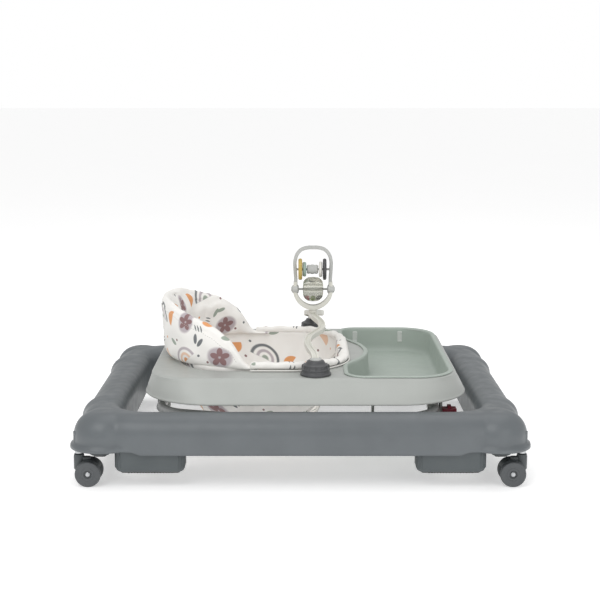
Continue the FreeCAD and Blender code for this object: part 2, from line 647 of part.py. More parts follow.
def make_tray():
    outer = tray_form("tray_outer", "0", "tray_bottom", "tray_top")
    hollow = tray_form("tray_hollow", "tray_wall", "(tray_bottom - 1)", "tray_top - tray_wall")
    pan = insert_form("pan_outer", "seat_fit + tray_wall", "insert_bottom - tray_wall",
                      "tray_top - tray_wall/2")
    recess = insert_form("pan_recess", "seat_fit", "insert_bottom", "tray_top + 5")
    collar = hole_form("collar_outer", "tray_wall", "tray_top - collar_drop", "tray_top - tray_wall/2")
    opening = hole_form("seat_opening", "0", "tray_top - collar_drop - 5", "tray_top + 5")
    guides = []
    slots = []
    for sy in SIDES:
        y = f"{sy}*{TRIGGER_Y}"
        guides.append(box("trigger_place", y, TRIGGER_TOP, "trigger_length - 4", "trigger_depth",
                          f"insert_bottom - 1 - {TRIGGER_TOP}"))
        slots.append(box("trigger_place", y, "trigger_bottom", "tongue + 2*slide_fit", "trigger_depth + 20",
                         "trigger_height + tongue_height + 2*slide_fit"))
    skin = cut(outer, hollow)
    keep(cut(join(skin, pan, collar, *guides), recess, opening, *slots), "tray_deck")

    body = insert_form("tub_outer", "0", "insert_bottom", "tray_top")
    rim = insert_form("tub_rim", "insert_rim", "tray_top", "tray_top + rim_height")
    room = insert_form("tub_room", "-insert_wall", "insert_bottom + insert_wall", "tray_top + 10")
    tabs = []
    for shift in SIDES:
        for sy in SIDES:
            tabs.append(box(f"tab_middle + {shift}*tab_spacing/2",
                            f"{sy}*(insert_half - insert_wall - tab_thick/2)", "tray_top - tab_height - 4",
                            "tab_width", "tab_thick", "tab_height"))
    keep(join(cut(join(body, rim), room), *tabs), "play_tub")

    for sy in SIDES:
        y = f"{sy}*{TRIGGER_Y}"
        paddle = box("trigger_place", y, "trigger_bottom", "trigger_length", "trigger_depth",
                     "trigger_height")
        tongue = box("trigger_place", y, "trigger_bottom + 1", "tongue", "trigger_depth - 4",
                     "trigger_height + tongue_height - 1")
        scoop = middle_rod("X", "trigger_place", f"{sy}*({TRIGGER_OUT} + 5)",
                           "trigger_bottom + trigger_height/2", "8",
                           "trigger_length - 6")
        keep(cut(join(paddle, tongue), scoop), f"fold_trigger_{SIDE_NAME[sy]}")


# ---------------------------------------------------------------- seat
def make_seat():
    deck = "(tray_top + slide_fit)"
    ring = rod("Z", "-back_place", "0", deck, "back_outer", "back_top - tray_top")
    core = rod("Z", "-back_place", "0", f"{deck} - 1", "back_inner", "back_top - tray_top + 2")
    profile = new_body("back_profile")
    sketch = sketch_on(profile, "XZ_Plane")
    rear = "-(back_place + back_outer + 5)"
    outline(sketch, [
        (rear, deck), (rear, "back_top - 6"), ("-(back_place + back_inner)", "back_top"),
        ("-(back_place + 120)", "back_top - 16"), ("-(wing_front + 64)", "(back_top + wing_step)/2 - 4"),
        ("-(wing_front + 29)", "wing_step"), ("-(wing_front + 14)", "(wing_step + wing_top)/2 - 5"),
        ("-(wing_front + 4)", "wing_top"), ("-wing_front", deck),
    ])
    feature = pad(profile, sketch, "2*back_outer + 20")
    feature.SideType = "Symmetric"
    doc.recompute()
    shell = common(cut(ring, core), profile)
    board_out = rod("Z", "-back_place", "0", "tray_top + 6", "board_radius + board_wall/2",
                    "back_top - tray_top - board_drop")
    board_in = rod("Z", "-back_place", "0", "tray_top + 5", "board_radius - board_wall/2",
                   "back_top - tray_top")
    rear_half = box("-(back_place + board_room)", "0", "tray_top", "110", "2*back_outer", "200")
    board = common(cut(board_out, board_in), rear_half)
    slot_out = rod("Z", "-back_place", "0", "tray_top + 6 - slide_fit",
                   "board_radius + board_wall/2 + slide_fit",
                   "back_top - tray_top - board_drop + 2*slide_fit")
    slot_in = rod("Z", "-back_place", "0", "tray_top + 4", "board_radius - board_wall/2 - slide_fit",
                  "back_top - tray_top")
    slot_half = box("-(back_place + board_room)", "0", "tray_top", "110 + 2*slide_fit", "2*back_outer + 2",
                    "200")
    low_profile = box("-(back_place + board_room)", "0", "tray_top", "300", "2*back_outer", "board_height")
    keep(common(board, low_profile), "seat_back_board")
    low_slot = box("-(back_place + board_room)", "0", "tray_top", "300", "2*back_outer + 2",
                   "board_height + slide_fit")
    keep(cut(shell, common(common(cut(slot_out, slot_in), slot_half), low_slot)), "seat_back_pad")

    def pouch(name, inset, bottom, top):
        body = new_body(name)
        upper = sketch_on(body, "XY_Plane", top)
        shrink = f"sling_gap + {inset}"
        outline(upper, rectangle(f"-(seat_hole_rear - ({shrink}))", f"seat_hole_front - ({shrink})",
                                 f"seat_hole_half - ({shrink})"))
        lower = sketch_on(body, "XY_Plane", bottom)
        outline(lower, rectangle(f"-(seat_hole_rear - 45 - {inset})", f"seat_hole_front - 55 - {inset}",
                                 f"sling_floor_half - {inset}"))
        loft = body.newObject("PartDesign::AdditiveLoft", "loft")
        loft.Profile = upper
        loft.Sections = [lower]
        doc.recompute()
        fillet(body, upright_edges(body.Shape), f"sling_corner - {inset}")
        return body

    outside = pouch("pouch_outer", "0", "sling_bottom", "tray_top")
    inside = pouch("pouch_inner", "sling_wall", "sling_bottom + sling_wall", "tray_top + 1")
    leg_holes = []
    for sy in SIDES:
        leg_holes.append(rod("X", "-20", f"{sy}*leg_hole_place", "sling_bottom + leg_hole_radius + 12",
                             "leg_hole_radius", "150"))
    keep(cut(outside, inside, *leg_holes), "seat_sling")

    grow = "(rim_pad_width - rim_pad_overlap)"
    outer_rim = hole_form("rim_outer", grow, deck, "rim_pad_top")
    inner_rim = hole_form("rim_inner", "-rim_pad_overlap", f"{deck} - 1", "rim_pad_top + 1")
    front = box("150 - wing_front + 2", "0", "tray_top - 5", "300", "400", "60")
    tub_room = insert_form("pad_tub_room", "insert_rim + 2*slide_fit", "tray_top", "rim_pad_top + 1")
    keep(cut(common(cut(outer_rim, inner_rim), front), tub_room), "seat_rim_pad")


# ---------------------------------------------------------------- toy bar
def make_toy():
    for sy in SIDES:
        dome = spun(f"dome_{SIDE_NAME[sy]}", "XZ_Plane", "V_Axis", [
            ("0", "0"), ("dome_radius", "0"), ("dome_radius", "3"), ("dome_radius - 1.5", "4.5"),
            ("dome_radius - 2.5", "8"), ("dome_radius - 3.5", "12"), ("dome_crown + 4", "16"),
            ("dome_crown + 1.5", "dome_top - tray_top - 4"), ("dome_crown - 2", "dome_top - tray_top"),
            ("0", "dome_top - tray_top"),
        ], ("dome_place", f"{sy}*dome_side", "tray_top"))
        socket = rod("Z", "dome_place", f"{sy}*dome_side", "dome_top - 12", "arch_radius + socket_room",
                     "14")
        keep(cut(dome, socket), f"toy_dome_{SIDE_NAME[sy]}")

    arms = []
    for sy in SIDES:
        foot = FreeCAD.Vector(value("dome_place"), sy * value("dome_side"), value("dome_top") - 11)
        top = FreeCAD.Vector(value("toy_place"), 0, value("(hub_bottom + hub_top)/2"))
        swing = value("arch_swing")
        side = sy * value("dome_side")
        route = [
            foot, foot + FreeCAD.Vector(0, 0, 12),
            FreeCAD.Vector(foot.x - swing, side * 0.74, foot.z + 28),
            FreeCAD.Vector(foot.x + swing, side * 0.34, foot.z + 40),
            FreeCAD.Vector(top.x, sy * 6, top.z - 1), FreeCAD.Vector(top.x, -sy * 2, top.z),
        ]
        curve = Part.BSplineCurve()
        curve.interpolate(Points=route)
        path = Part.Wire([curve.toShape()])
        start = curve.tangent(curve.FirstParameter)[0]
        section = Part.Wire([Part.Circle(foot, start, value("arch_radius")).toShape()])
        arms.append(path.makePipeShell([section], True, True))
    hub = Part.makeCylinder(value("hub_radius"), value("hub_top - hub_bottom"),
                            FreeCAD.Vector(value("toy_place"), 0, value("hub_bottom")))
    bore = Part.makeCylinder(value("spigot_radius + fit"), 12,
                             FreeCAD.Vector(value("toy_place"), 0, value("hub_top - 10")))
    arch = doc.addObject("Part::Feature", "arch")
    arch.Shape = hub.fuse(arms).cut(bore)
    keep(arch, "toy_arch")

    x = "toy_place"
    ring = middle_rod("Y", x, "0", "toy_axis", "yoke_outer", "yoke_width")
    room = middle_rod("Y", x, "0", "toy_axis", "yoke_inner", "yoke_width + 2")
    upper = box(x, "0", "toy_axis + yoke_rise", "2*yoke_outer + 4", "yoke_width + 4", "yoke_outer")
    spigot = rod("Z", x, "0", "hub_top - 8", "spigot_radius", "toy_axis - yoke_outer - hub_top + 9.5")
    seat = middle_rod("X", x, "0", "toy_axis", "axle_radius + fit", "3*yoke_outer")
    feet = [rod("Z", f"{x} + {side}*loop_half", "0", "toy_axis + 3", "loop_radius + fit",
                "20") for side in SIDES]
    keep(cut(join(cut(ring, room, upper), spigot), seat, *feet), "toy_yoke")

    axle = middle_rod("X", x, "0", "toy_axis", "axle_radius", "2*yoke_outer + 2")
    caps = [common(ball(f"{x} + {side}*knob_place", "0", "toy_axis", "knob_radius"),
                   box(f"{x} + {side}*(yoke_outer + slide_fit + knob_radius)", "0",
                       "toy_axis - knob_radius",
                       "2*knob_radius", "2*knob_radius", "2*knob_radius"))
            for side in SIDES]
    keep(join(axle, *caps), "drum_axle")

    drum = spun("drum_form", "XY_Plane", "H_Axis", [
        ("-drum_half", "axle_radius + fit"), ("-drum_half", "drum_end"), ("-drum_half + 5",
                                                                          "drum_radius - 2"),
        ("-drum_half + 10", "drum_radius"), ("drum_half - 10", "drum_radius"), ("drum_half - 5",
                                                                                "drum_radius - 2"),
        ("drum_half", "drum_end"), ("drum_half", "axle_radius + fit"),
    ], (x, "0", "toy_axis"))
    drum_room = spun("drum_room", "XY_Plane", "H_Axis", [
        ("-drum_half + drum_wall", "axle_radius + drum_wall"), ("-drum_half + drum_wall",
                                                                "drum_end - drum_wall/2"),
        ("-drum_half + 5.5", "drum_radius - 2 - drum_wall"), ("-drum_half + 10", "drum_radius - drum_wall"),
        ("drum_half - 10", "drum_radius - drum_wall"), ("drum_half - 5.5", "drum_radius - 2 - drum_wall"),
        ("drum_half - drum_wall", "drum_end - drum_wall/2"), ("drum_half - drum_wall",
                                                              "axle_radius + drum_wall"),
    ], (x, "0", "toy_axis"))
    keep(cut(drum, drum_room), "rattle_drum")
    low = "toy_axis - drum_radius + drum_wall + bead_radius + bead_gap"
    keep(group(*[ball(f"{x} + {shift}*(2*bead_radius + slide_fit)", "0", low,
                      "bead_radius") for shift in (-1, 0, 1)]),
         "rattle_beads")

    torus = doc.addObject("Part::Torus", "loop_bend")
    bind(torus, "Radius1", "loop_half")
    bind(torus, "Radius2", "loop_radius")
    torus.Angle3 = 180
    torus.Placement = FreeCAD.Placement(FreeCAD.Vector(), FreeCAD.Rotation(FreeCAD.Vector(1, 0, 0), 90))
    place(torus, x, "0", "loop_centre")
    uprights = [rod("Z", f"{x} + {side}*loop_half", "0", "toy_axis + 3", "loop_radius",
                    "loop_centre - toy_axis - 3")
                for side in SIDES]
    bar = middle_rod("X", x, "0", "bar_height", "axle_radius", "2*loop_half")
    keep(join(torus, *uprights, bar), "toy_loop")

    def bead_on_bar(name, centre, radius, half_width):
        body = spun(f"{name}_form", "XY_Plane", "H_Axis", [
            (f"-({half_width})", "axle_radius + fit"), (f"-({half_width})", f"{radius} - 1.5"),
            (f"-({half_width}) + 1.2", radius), (f"{half_width} - 1.2", radius),
            (half_width, f"{radius} - 1.5"), (half_width, "axle_radius + fit"),
        ], (f"{x} + ({centre})", "0", "bar_height"))
        keep(body, name)

    bead_on_bar("toy_roller", "-roller_offset", "toy_roller_radius", "roller_half")
    step = "(roller_half + roller_gap + disc_width/2)"
    bead_on_bar("toy_disc_green", f"-roller_offset - {step}", "inner_disc - 0.8", "disc_width/2 - 0.2")
    bead_on_bar("toy_disc_yellow", f"-roller_offset - {step} - disc_width", "disc_radius",
                "disc_width/2 - 0.2")
    bead_on_bar("toy_disc_white", f"-roller_offset + {step}", "inner_disc", "disc_width/2 - 0.6")
    bead_on_bar("toy_disc_black", f"-roller_offset + {step} + disc_width", "disc_radius",
                "disc_width/2 - 0.4")


# ---------------------------------------------------------------- build, check, write
make_base()
make_floor_blocks()
for end in SIDES:
    for flank in SIDES:
        make_castor(end, flank)
make_legs()
make_rails_and_brackets()
make_tray()
make_seat()
make_toy()
doc.recompute()

for obj in doc.Objects:
    if "Invalid" in obj.State or "Error" in obj.State:
        raise RuntimeError(f"{obj.Name} ({obj.Label}) failed: {obj.State} {obj.getStatusString()}")
for obj in nodes:
    if obj.Shape.isNull() or not obj.Shape.isValid():
        raise RuntimeError(f"{obj.Label} has no valid shape")
    if not obj.Shape.Solids:
        raise RuntimeError(f"{obj.Label} has no solid")

os.makedirs("parts", exist_ok=True)
for obj in nodes:
    obj.Shape.exportStep(f"parts/{obj.Label}.step")
    print(f"{obj.Label}: {len(obj.Shape.Solids)} solids, {obj.Shape.Volume / 1000:.1f} cm3")
print(f"{len(nodes)} sub-parts")
folded = value("asin((high_pivot - low_pivot + lift)/leg_length)")
print(f"fold turn {folded - value(REST_ANGLE):.4f} degrees")
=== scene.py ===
import math

import bmesh
import bpy
import numpy as np
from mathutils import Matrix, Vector


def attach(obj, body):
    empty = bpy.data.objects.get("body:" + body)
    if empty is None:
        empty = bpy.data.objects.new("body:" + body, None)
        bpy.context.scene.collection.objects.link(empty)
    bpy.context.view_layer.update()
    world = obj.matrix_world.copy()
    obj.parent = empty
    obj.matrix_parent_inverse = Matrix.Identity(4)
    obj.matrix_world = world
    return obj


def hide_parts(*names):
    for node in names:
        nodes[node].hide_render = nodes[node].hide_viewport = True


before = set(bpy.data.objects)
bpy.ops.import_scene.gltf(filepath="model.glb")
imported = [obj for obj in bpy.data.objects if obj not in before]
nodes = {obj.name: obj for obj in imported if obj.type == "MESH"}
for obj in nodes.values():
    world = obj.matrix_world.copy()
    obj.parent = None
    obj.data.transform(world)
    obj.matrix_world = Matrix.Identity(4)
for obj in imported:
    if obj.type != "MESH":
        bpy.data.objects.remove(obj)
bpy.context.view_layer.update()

MM = 0.001
SIDES = (-1, 1)
SIDE_NAME = {-1: "right", 1: "left"}
END_NAME = {-1: "rear", 1: "front"}
scene = bpy.context.scene

# Places that several pieces share, in millimetres.
DECK_TOP = 155
CASTOR_X, CASTOR_Y, CASTOR_TRAIL = 340, 262, 15
WHEEL_RADIUS = 20
WALL_FOOT = 53.4
TRAY_REAR, TRAY_FRONT, TRAY_HALF, TRAY_INSET = 251, 267, 240, 1.5
LEAN_REAR, LEAN_FRONT, LEAN_SIDE = 11, 16, 28
SEAT_HALF_X, SEAT_HALF_Y, SEAT_CORNER, SEAT_MIDDLE = 137.5, 160, 90, -62.5
TAB_X, TAB_SPACING, TAB_Z = 144, 84, 141
DOME_X, DOME_Y = 24, 185
TOY_X, BAR_Z, DRUM_Z = 21.5, 297, 263


# ---------------------------------------------------------------- finishes
def linear(red, green, blue):
    """A colour given as 0 to 255 display values, as the shaders take it."""
    return tuple(((v / 255 + 0.055) / 1.055) ** 2.4 if v > 10 else v / 3294.6
                 for v in (red, green, blue)) + (1.0,)


def blank(name):
    finish = bpy.data.materials.new(name)
    finish.use_nodes = True
    tree = finish.node_tree
    return finish, tree, tree.nodes["Principled BSDF"]


def link(tree, source, target):
    tree.links.new(source, target)


def noise(tree, coords, scale, detail=2.0, rough=0.5):
    node = tree.nodes.new("ShaderNodeTexNoise")
    node.inputs["Scale"].default_value = scale
    node.inputs["Detail"].default_value = detail
    node.inputs["Roughness"].default_value = rough
    link(tree, coords, node.inputs["Vector"])
    return node.outputs["Fac"]


def spread(tree, value, low, high, from_low=0.3, from_high=0.7):
    node = tree.nodes.new("ShaderNodeMapRange")
    node.inputs["From Min"].default_value = from_low
    node.inputs["From Max"].default_value = from_high
    node.inputs["To Min"].default_value = low
    node.inputs["To Max"].default_value = high
    link(tree, value, node.inputs["Value"])
    return node.outputs["Result"]


def tint(tree, share, first, second):
    node = tree.nodes.new("ShaderNodeMix")
    node.data_type = "RGBA"
    for socket, value in ((node.inputs[0], share), (node.inputs[6], first), (node.inputs[7], second)):
        if isinstance(value, bpy.types.NodeSocket):
            link(tree, value, socket)
        else:
            socket.default_value = value
    return node.outputs[2]


def bump(tree, height, strength, depth, under=None):
    node = tree.nodes.new("ShaderNodeBump")
    node.inputs["Strength"].default_value = strength
    node.inputs["Distance"].default_value = depth
    link(tree, height, node.inputs["Height"])
    if under is not None:
        link(tree, under, node.inputs["Normal"])
    return node.outputs["Normal"]


def place_coords(tree):
    return tree.nodes.new("ShaderNodeTexCoord").outputs["Object"]


def moulded(name, colour, rough=0.42, grain=1100.0, mottle=0.06, wave=0.00012, coat=0.0):
    """Moulded plastic: fine spark grain, slight clouding of the colour, uneven gloss."""
    finish, tree, shader = blank(name)
    coords = place_coords(tree)
    cloud = noise(tree, coords, 22.0, 3.0)
    paler = tuple(min(1.0, c * (1 + mottle) + 0.004) for c in colour[:3]) + (1.0,)
    darker = tuple(c * (1 - mottle) for c in colour[:3]) + (1.0,)
    link(tree, tint(tree, spread(tree, cloud, 0.0, 1.0), darker, paler), shader.inputs["Base Color"])
    link(tree, spread(tree, noise(tree, coords, 60.0, 4.0), rough - 0.06, rough + 0.08),
         shader.inputs["Roughness"])
    soft = bump(tree, noise(tree, coords, 35.0, 2.0), 0.25, wave)
    link(tree, bump(tree, noise(tree, coords, grain, 2.0), 0.16, 0.00006, soft), shader.inputs["Normal"])
    shader.inputs["Specular IOR Level"].default_value = 0.45
    shader.inputs["Coat Weight"].default_value = coat
    shader.inputs["Coat Roughness"].default_value = 0.3
    return finish


def metal(name, colour, rough, painted):
    """Bare or powder-coated metal with a fine grain bump and small scuffs."""
    finish, tree, shader = blank(name)
    coords = place_coords(tree)
    scuffs = noise(tree, coords, 180.0, 6.0, 0.7)
    darker = tuple(c * 0.8 for c in colour[:3]) + (1.0,)
    link(tree, tint(tree, spread(tree, scuffs, 0.0, 1.0, 0.35, 0.65), colour, darker),
         shader.inputs["Base Color"])
    link(tree, spread(tree, noise(tree, coords, 90.0, 4.0), rough - 0.06, rough + 0.1),
         shader.inputs["Roughness"])
    link(tree, bump(tree, noise(tree, coords, 700.0, 3.0), 0.12, 0.00005), shader.inputs["Normal"])
    shader.inputs["Metallic"].default_value = 0.0 if painted else 1.0
    shader.inputs["Coat Weight"].default_value = 0.3 if painted else 0.0
    return finish


def clear_moulding(name, colour):
    finish, tree, shader = blank(name)
    coords = place_coords(tree)
    link(tree, tint(tree, spread(tree, noise(tree, coords, 40.0, 3.0), 0.0, 1.0), colour,
                    tuple(c * 0.9 for c in colour[:3]) + (1.0,)), shader.inputs["Base Color"])
    link(tree, spread(tree, noise(tree, coords, 160.0, 3.0), 0.04, 0.12), shader.inputs["Roughness"])
    shader.inputs["Transmission Weight"].default_value = 0.9
    shader.inputs["IOR"].default_value = 1.15
    return finish


def weave_height(tree, uv, pitch):
    """The over and under of a plain weave, from the cloth's own map in metres."""
    height = None
    for turn in (0.0, math.pi / 2):
        wave = tree.nodes.new("ShaderNodeTexWave")
        wave.wave_profile = "SIN"
        wave.inputs["Scale"].default_value = 0.314 / pitch
        wave.inputs["Distortion"].default_value = 0.4
        turned = tree.nodes.new("ShaderNodeMapping")
        turned.inputs["Rotation"].default_value = (0, 0, turn)
        link(tree, uv, turned.inputs["Vector"])
        link(tree, turned.outputs["Vector"], wave.inputs["Vector"])
        if height is None:
            height = wave.outputs["Fac"]
        else:
            both = tree.nodes.new("ShaderNodeMath")
            both.operation = "MAXIMUM"
            link(tree, height, both.inputs[0])
            link(tree, wave.outputs["Fac"], both.inputs[1])
            height = both.outputs[0]
    return height


def tile_coords(tree, uv, width, length):
    """Coordinates in metres inside one repeat of the print, each row shifted along."""
    parts = tree.nodes.new("ShaderNodeSeparateXYZ")
    link(tree, uv, parts.inputs[0])

    def calc(kind, first, second=None):
        node = tree.nodes.new("ShaderNodeMath")
        node.operation = kind
        for socket, value in zip(node.inputs, (first, second)):
            if isinstance(value, bpy.types.NodeSocket):
                link(tree, value, socket)
            elif value is not None:
                socket.default_value = value
        return node.outputs[0]

    rows = calc("DIVIDE", parts.outputs[1], length)
    row = calc("FLOOR", rows)
    across = calc("ADD", calc("DIVIDE", parts.outputs[0], width), calc("MULTIPLY", row, 0.43))
    joined = tree.nodes.new("ShaderNodeCombineXYZ")
    link(tree, calc("MULTIPLY", calc("FRACT", across), width), joined.inputs[0])
    link(tree, calc("MULTIPLY", calc("FRACT", rows), length), joined.inputs[1])
    return joined.outputs[0]


def spot(tree, tile, x, y, long_radius, short_radius, turn=0.0):
    """A soft-edged ellipse of the print, with its distance field for rings."""
    shift = tree.nodes.new("ShaderNodeMapping")
    shift.vector_type = "TEXTURE"
    shift.inputs["Location"].default_value = (x * MM, y * MM, 0)
    shift.inputs["Rotation"].default_value = (0, 0, math.radians(turn))
    shift.inputs["Scale"].default_value = (long_radius * MM, short_radius * MM, 1)
    link(tree, tile, shift.inputs["Vector"])
    length = tree.nodes.new("ShaderNodeVectorMath")
    length.operation = "LENGTH"
    link(tree, shift.outputs["Vector"], length.inputs[0])
    return shift.outputs["Vector"], length.outputs["Value"]


def product(tree, first, second):
    node = tree.nodes.new("ShaderNodeMath")
    node.operation = "MULTIPLY"
    link(tree, first, node.inputs[0])
    link(tree, second, node.inputs[1])
    return node.outputs[0]


def inside(tree, reach, edge=1.0, blur=0.04):
    return spread(tree, reach, 1.0, 0.0, edge - blur, edge + blur)


def upper_half(tree, local):
    parts = tree.nodes.new("ShaderNodeSeparateXYZ")
    link(tree, local, parts.inputs[0])
    return spread(tree, parts.outputs[1], 0.0, 1.0, -0.03, 0.03)


def printed_cloth(name):
    """Off-white woven cotton with a scattered print of arches, half rounds, leaves, strokes and dots."""
    finish, tree, shader = blank(name)
    uv = tree.nodes.new("ShaderNodeUVMap")
    uv.uv_map = "cloth"
    wide, long = 0.176, 0.132
    tile = tile_coords(tree, uv.outputs["UV"], wide, long)
    ground = tint(tree, noise(tree, uv.outputs["UV"], 14.0, 3.0), linear(246, 244, 240),
                  linear(238, 236, 232))
    colour = ground
    orange, peach = linear(226, 160, 108), linear(233, 199, 174)
    plum, lilac = linear(142, 112, 112), linear(187, 178, 182)
    slate, sage = linear(118, 122, 124), linear(158, 168, 156)

    def layer(mask, ink):
        nonlocal colour
        colour = tint(tree, mask, colour, ink)

    for x, y, size, turn, inks in (
            (30, 96, 25, 12, (slate, ground, lilac, ground, sage)),
            (130, 34, 23, -35, (lilac, ground, peach, ground, orange))):
        local, reach = spot(tree, tile, x, y, size, size, turn)
        top = upper_half(tree, local)
        for step, ink in enumerate(inks):
            layer(product(tree, top, inside(tree, reach, 1.0 - 0.19 * step)), ink)
    for x, y, size, turn, ink in ((84, 108, 17, 160, orange), (18, 30, 15, 40, peach),
                                  (160, 100, 13, -70, orange)):
        local, reach = spot(tree, tile, x, y, size, size, turn)
        layer(product(tree, upper_half(tree, local), inside(tree, reach)), ink)
    for x, y, size, turn in ((68, 42, 14, 20), (128, 98, 12, 100)):
        _, reach = spot(tree, tile, x, y, size * 1.45, size * 1.15, turn)
        layer(inside(tree, reach, blur=0.12), lilac)
        for petal in range(5):
            angle = math.radians(turn + petal * 72)
            _, reach = spot(tree, tile, x + size * 0.62 * math.cos(angle), y + size * 0.62 * math.sin(angle),
                            size * 0.5, size * 0.33, math.degrees(angle))
            layer(inside(tree, reach, blur=0.08), plum)
    for x, y, turn, ink in ((48, 68, 60, sage), (58, 72, 15, sage), (100, 66, 130, slate),
                            (108, 72, 95, slate), (160, 62, 30, sage), (40, 12, 80, slate),
                            (92, 14, 150, sage)):
        _, reach = spot(tree, tile, x, y, 8.5, 3.2, turn)
        layer(inside(tree, reach, blur=0.1), ink)
    for x, y, turn in ((98, 88, 75), (103, 89, 70), (108, 90, 66), (30, 56, -20), (31, 61, -16),
                       (146, 10, 85), (151, 11, 82)):
        _, reach = spot(tree, tile, x, y, 5.5, 1.1, turn)
        layer(inside(tree, reach, blur=0.15), slate)
    for x, y, ink in ((62, 92, plum), (112, 118, slate), (8, 66, orange), (88, 34, plum), (104, 44, slate),
                      (150, 66, plum), (54, 120, slate), (168, 20, peach), (20, 6, plum)):
        _, reach = spot(tree, tile, x, y, 2.1, 2.1)
        layer(inside(tree, reach, blur=0.15), ink)
    link(tree, colour, shader.inputs["Base Color"])
    slubs = noise(tree, uv.outputs["UV"], 420.0, 4.0)
    link(tree, spread(tree, slubs, 0.82, 0.96), shader.inputs["Roughness"])
    soft = bump(tree, noise(tree, uv.outputs["UV"], 26.0, 3.0), 0.5, 0.0012)
    link(tree, bump(tree, weave_height(tree, uv.outputs["UV"], 0.0011), 0.35, 0.00018, soft),
         shader.inputs["Normal"])
    shader.inputs["Sheen Weight"].default_value = 0.12
    shader.inputs["Sheen Roughness"].default_value = 0.6
    shader.inputs["Specular IOR Level"].default_value = 0.2
    return finish


def plain_cloth(name, colour):
    """Tape, piping and thread."""
    finish, tree, shader = blank(name)
    coords = place_coords(tree)
    threads = noise(tree, coords, 900.0, 3.0)
    link(tree, tint(tree, threads, colour, tuple(c * 0.82 for c in colour[:3]) + (1.0,)),
         shader.inputs["Base Color"])
    link(tree, spread(tree, threads, 0.8, 0.95), shader.inputs["Roughness"])
    link(tree, bump(tree, threads, 0.4, 0.0002), shader.inputs["Normal"])
    shader.inputs["Sheen Weight"].default_value = 0.15
    return finish


SLATE = moulded("slate_moulding", linear(98, 103, 106), 0.40, mottle=0.035, coat=0.05)
BLOCK = moulded("block_moulding", linear(80, 86, 88), 0.5, mottle=0.05)
GRIP = moulded("grip_rubber", linear(60, 62, 63), 0.75, 500.0, 0.1)
HOUSING = moulded("castor_moulding", linear(74, 79, 81), 0.45)
TYRE = moulded("tyre_moulding", linear(82, 85, 87), 0.5, 700.0)
STEEL = metal("bare_steel", linear(196, 198, 200), 0.3, False)
TUBE = metal("tube_paint", linear(198, 199, 198), 0.32, True)
ROLLER = moulded("roller_nylon", linear(206, 206, 200), 0.35)
TRAY = moulded("tray_moulding", linear(172, 175, 171), 0.4, mottle=0.02, coat=0.05)
TAB = moulded("tab_moulding", linear(205, 208, 204), 0.35, mottle=0.02)
TUB = moulded("tub_moulding", linear(168, 178, 170), 0.44, mottle=0.02, wave=0.00005)
LATCH = moulded("latch_moulding", linear(126, 40, 54), 0.4)
BOARD = moulded("board_moulding", linear(206, 204, 198), 0.5)
DOME = moulded("dome_moulding", linear(70, 71, 73), 0.36, coat=0.15)
TOY_GREY = moulded("toy_moulding", linear(214, 213, 204), 0.33, coat=0.2)
LOOP_GREY = moulded("loop_moulding", linear(184, 185, 182), 0.35, coat=0.15)
CLEAR = clear_moulding("clear_moulding", linear(238, 238, 232))
BEADS = moulded("bead_moulding", linear(176, 66, 80), 0.25, coat=0.4)
BEAD_GREEN = moulded("green_bead_moulding", linear(132, 162, 74), 0.25, coat=0.4)
BEAD_DARK = moulded("dark_bead_moulding", linear(58, 64, 64), 0.25, coat=0.4)
DISC_GREEN = moulded("green_disc_moulding", linear(150, 170, 160), 0.32, coat=0.3)
DISC_YELLOW = moulded("yellow_disc_moulding", linear(190, 164, 84), 0.32, coat=0.3)
DISC_WHITE = moulded("white_disc_moulding", linear(230, 228, 222), 0.32, coat=0.3)
DISC_BLACK = moulded("black_disc_moulding", linear(62, 62, 64), 0.32, coat=0.3)
CLOTH = printed_cloth("printed_cotton")
TAPE = plain_cloth("white_tape", linear(240, 238, 233))
THREAD = plain_cloth("thread", linear(196, 194, 188))

SLOT_FINISH = {
    "base_plastic": SLATE, "block_plastic": BLOCK, "grip_rubber": GRIP, "steel": STEEL,
    "castor_plastic": HOUSING, "wheel_plastic": TYRE, "leg_paint": TUBE, "nylon": ROLLER,
    "tray_plastic": TRAY, "tub_plastic": TUB, "trigger_plastic": LATCH, "board_plastic": BOARD,
    "printed_fabric": CLOTH, "dome_plastic": DOME, "toy_grey_plastic": TOY_GREY, "clear_plastic": CLEAR,
    "bead_plastic": BEADS, "disc_green": DISC_GREEN, "disc_yellow": DISC_YELLOW,
    "disc_white": DISC_WHITE, "disc_black": DISC_BLACK,
}
for node in nodes.values():
    for place, material in enumerate(node.data.materials):
        node.data.materials[place] = SLOT_FINISH[material.name.split(".")[0]]


# ---------------------------------------------------------------- shape helpers
def skin(rings, round_ring=True, round_path=False, ends=False, lids=False):
    """Points and faces of a skin over equal rings of points, closed by fans or by flat lids."""
    rings = np.asarray(rings, float)
    count, size = rings.shape[:2]
    points = rings.reshape(-1, 3).tolist()
    faces = []
    for i in range(count if round_path else count - 1):
        following = (i + 1) % count
        for j in range(size if round_ring else size - 1):
            k = (j + 1) % size
            faces.append((i * size + j, i * size + k, following * size + k, following * size + j))
    if ends:
        for row in (0, count - 1):
            middle = len(points)
            points.append(rings[row].mean(0).tolist())
            for j in range(size):
                faces.append((row * size + j, row * size + (j + 1) % size, middle))
    if lids:
        faces += [tuple(range(size)), tuple(range((count - 1) * size, count * size))]
    return points, faces


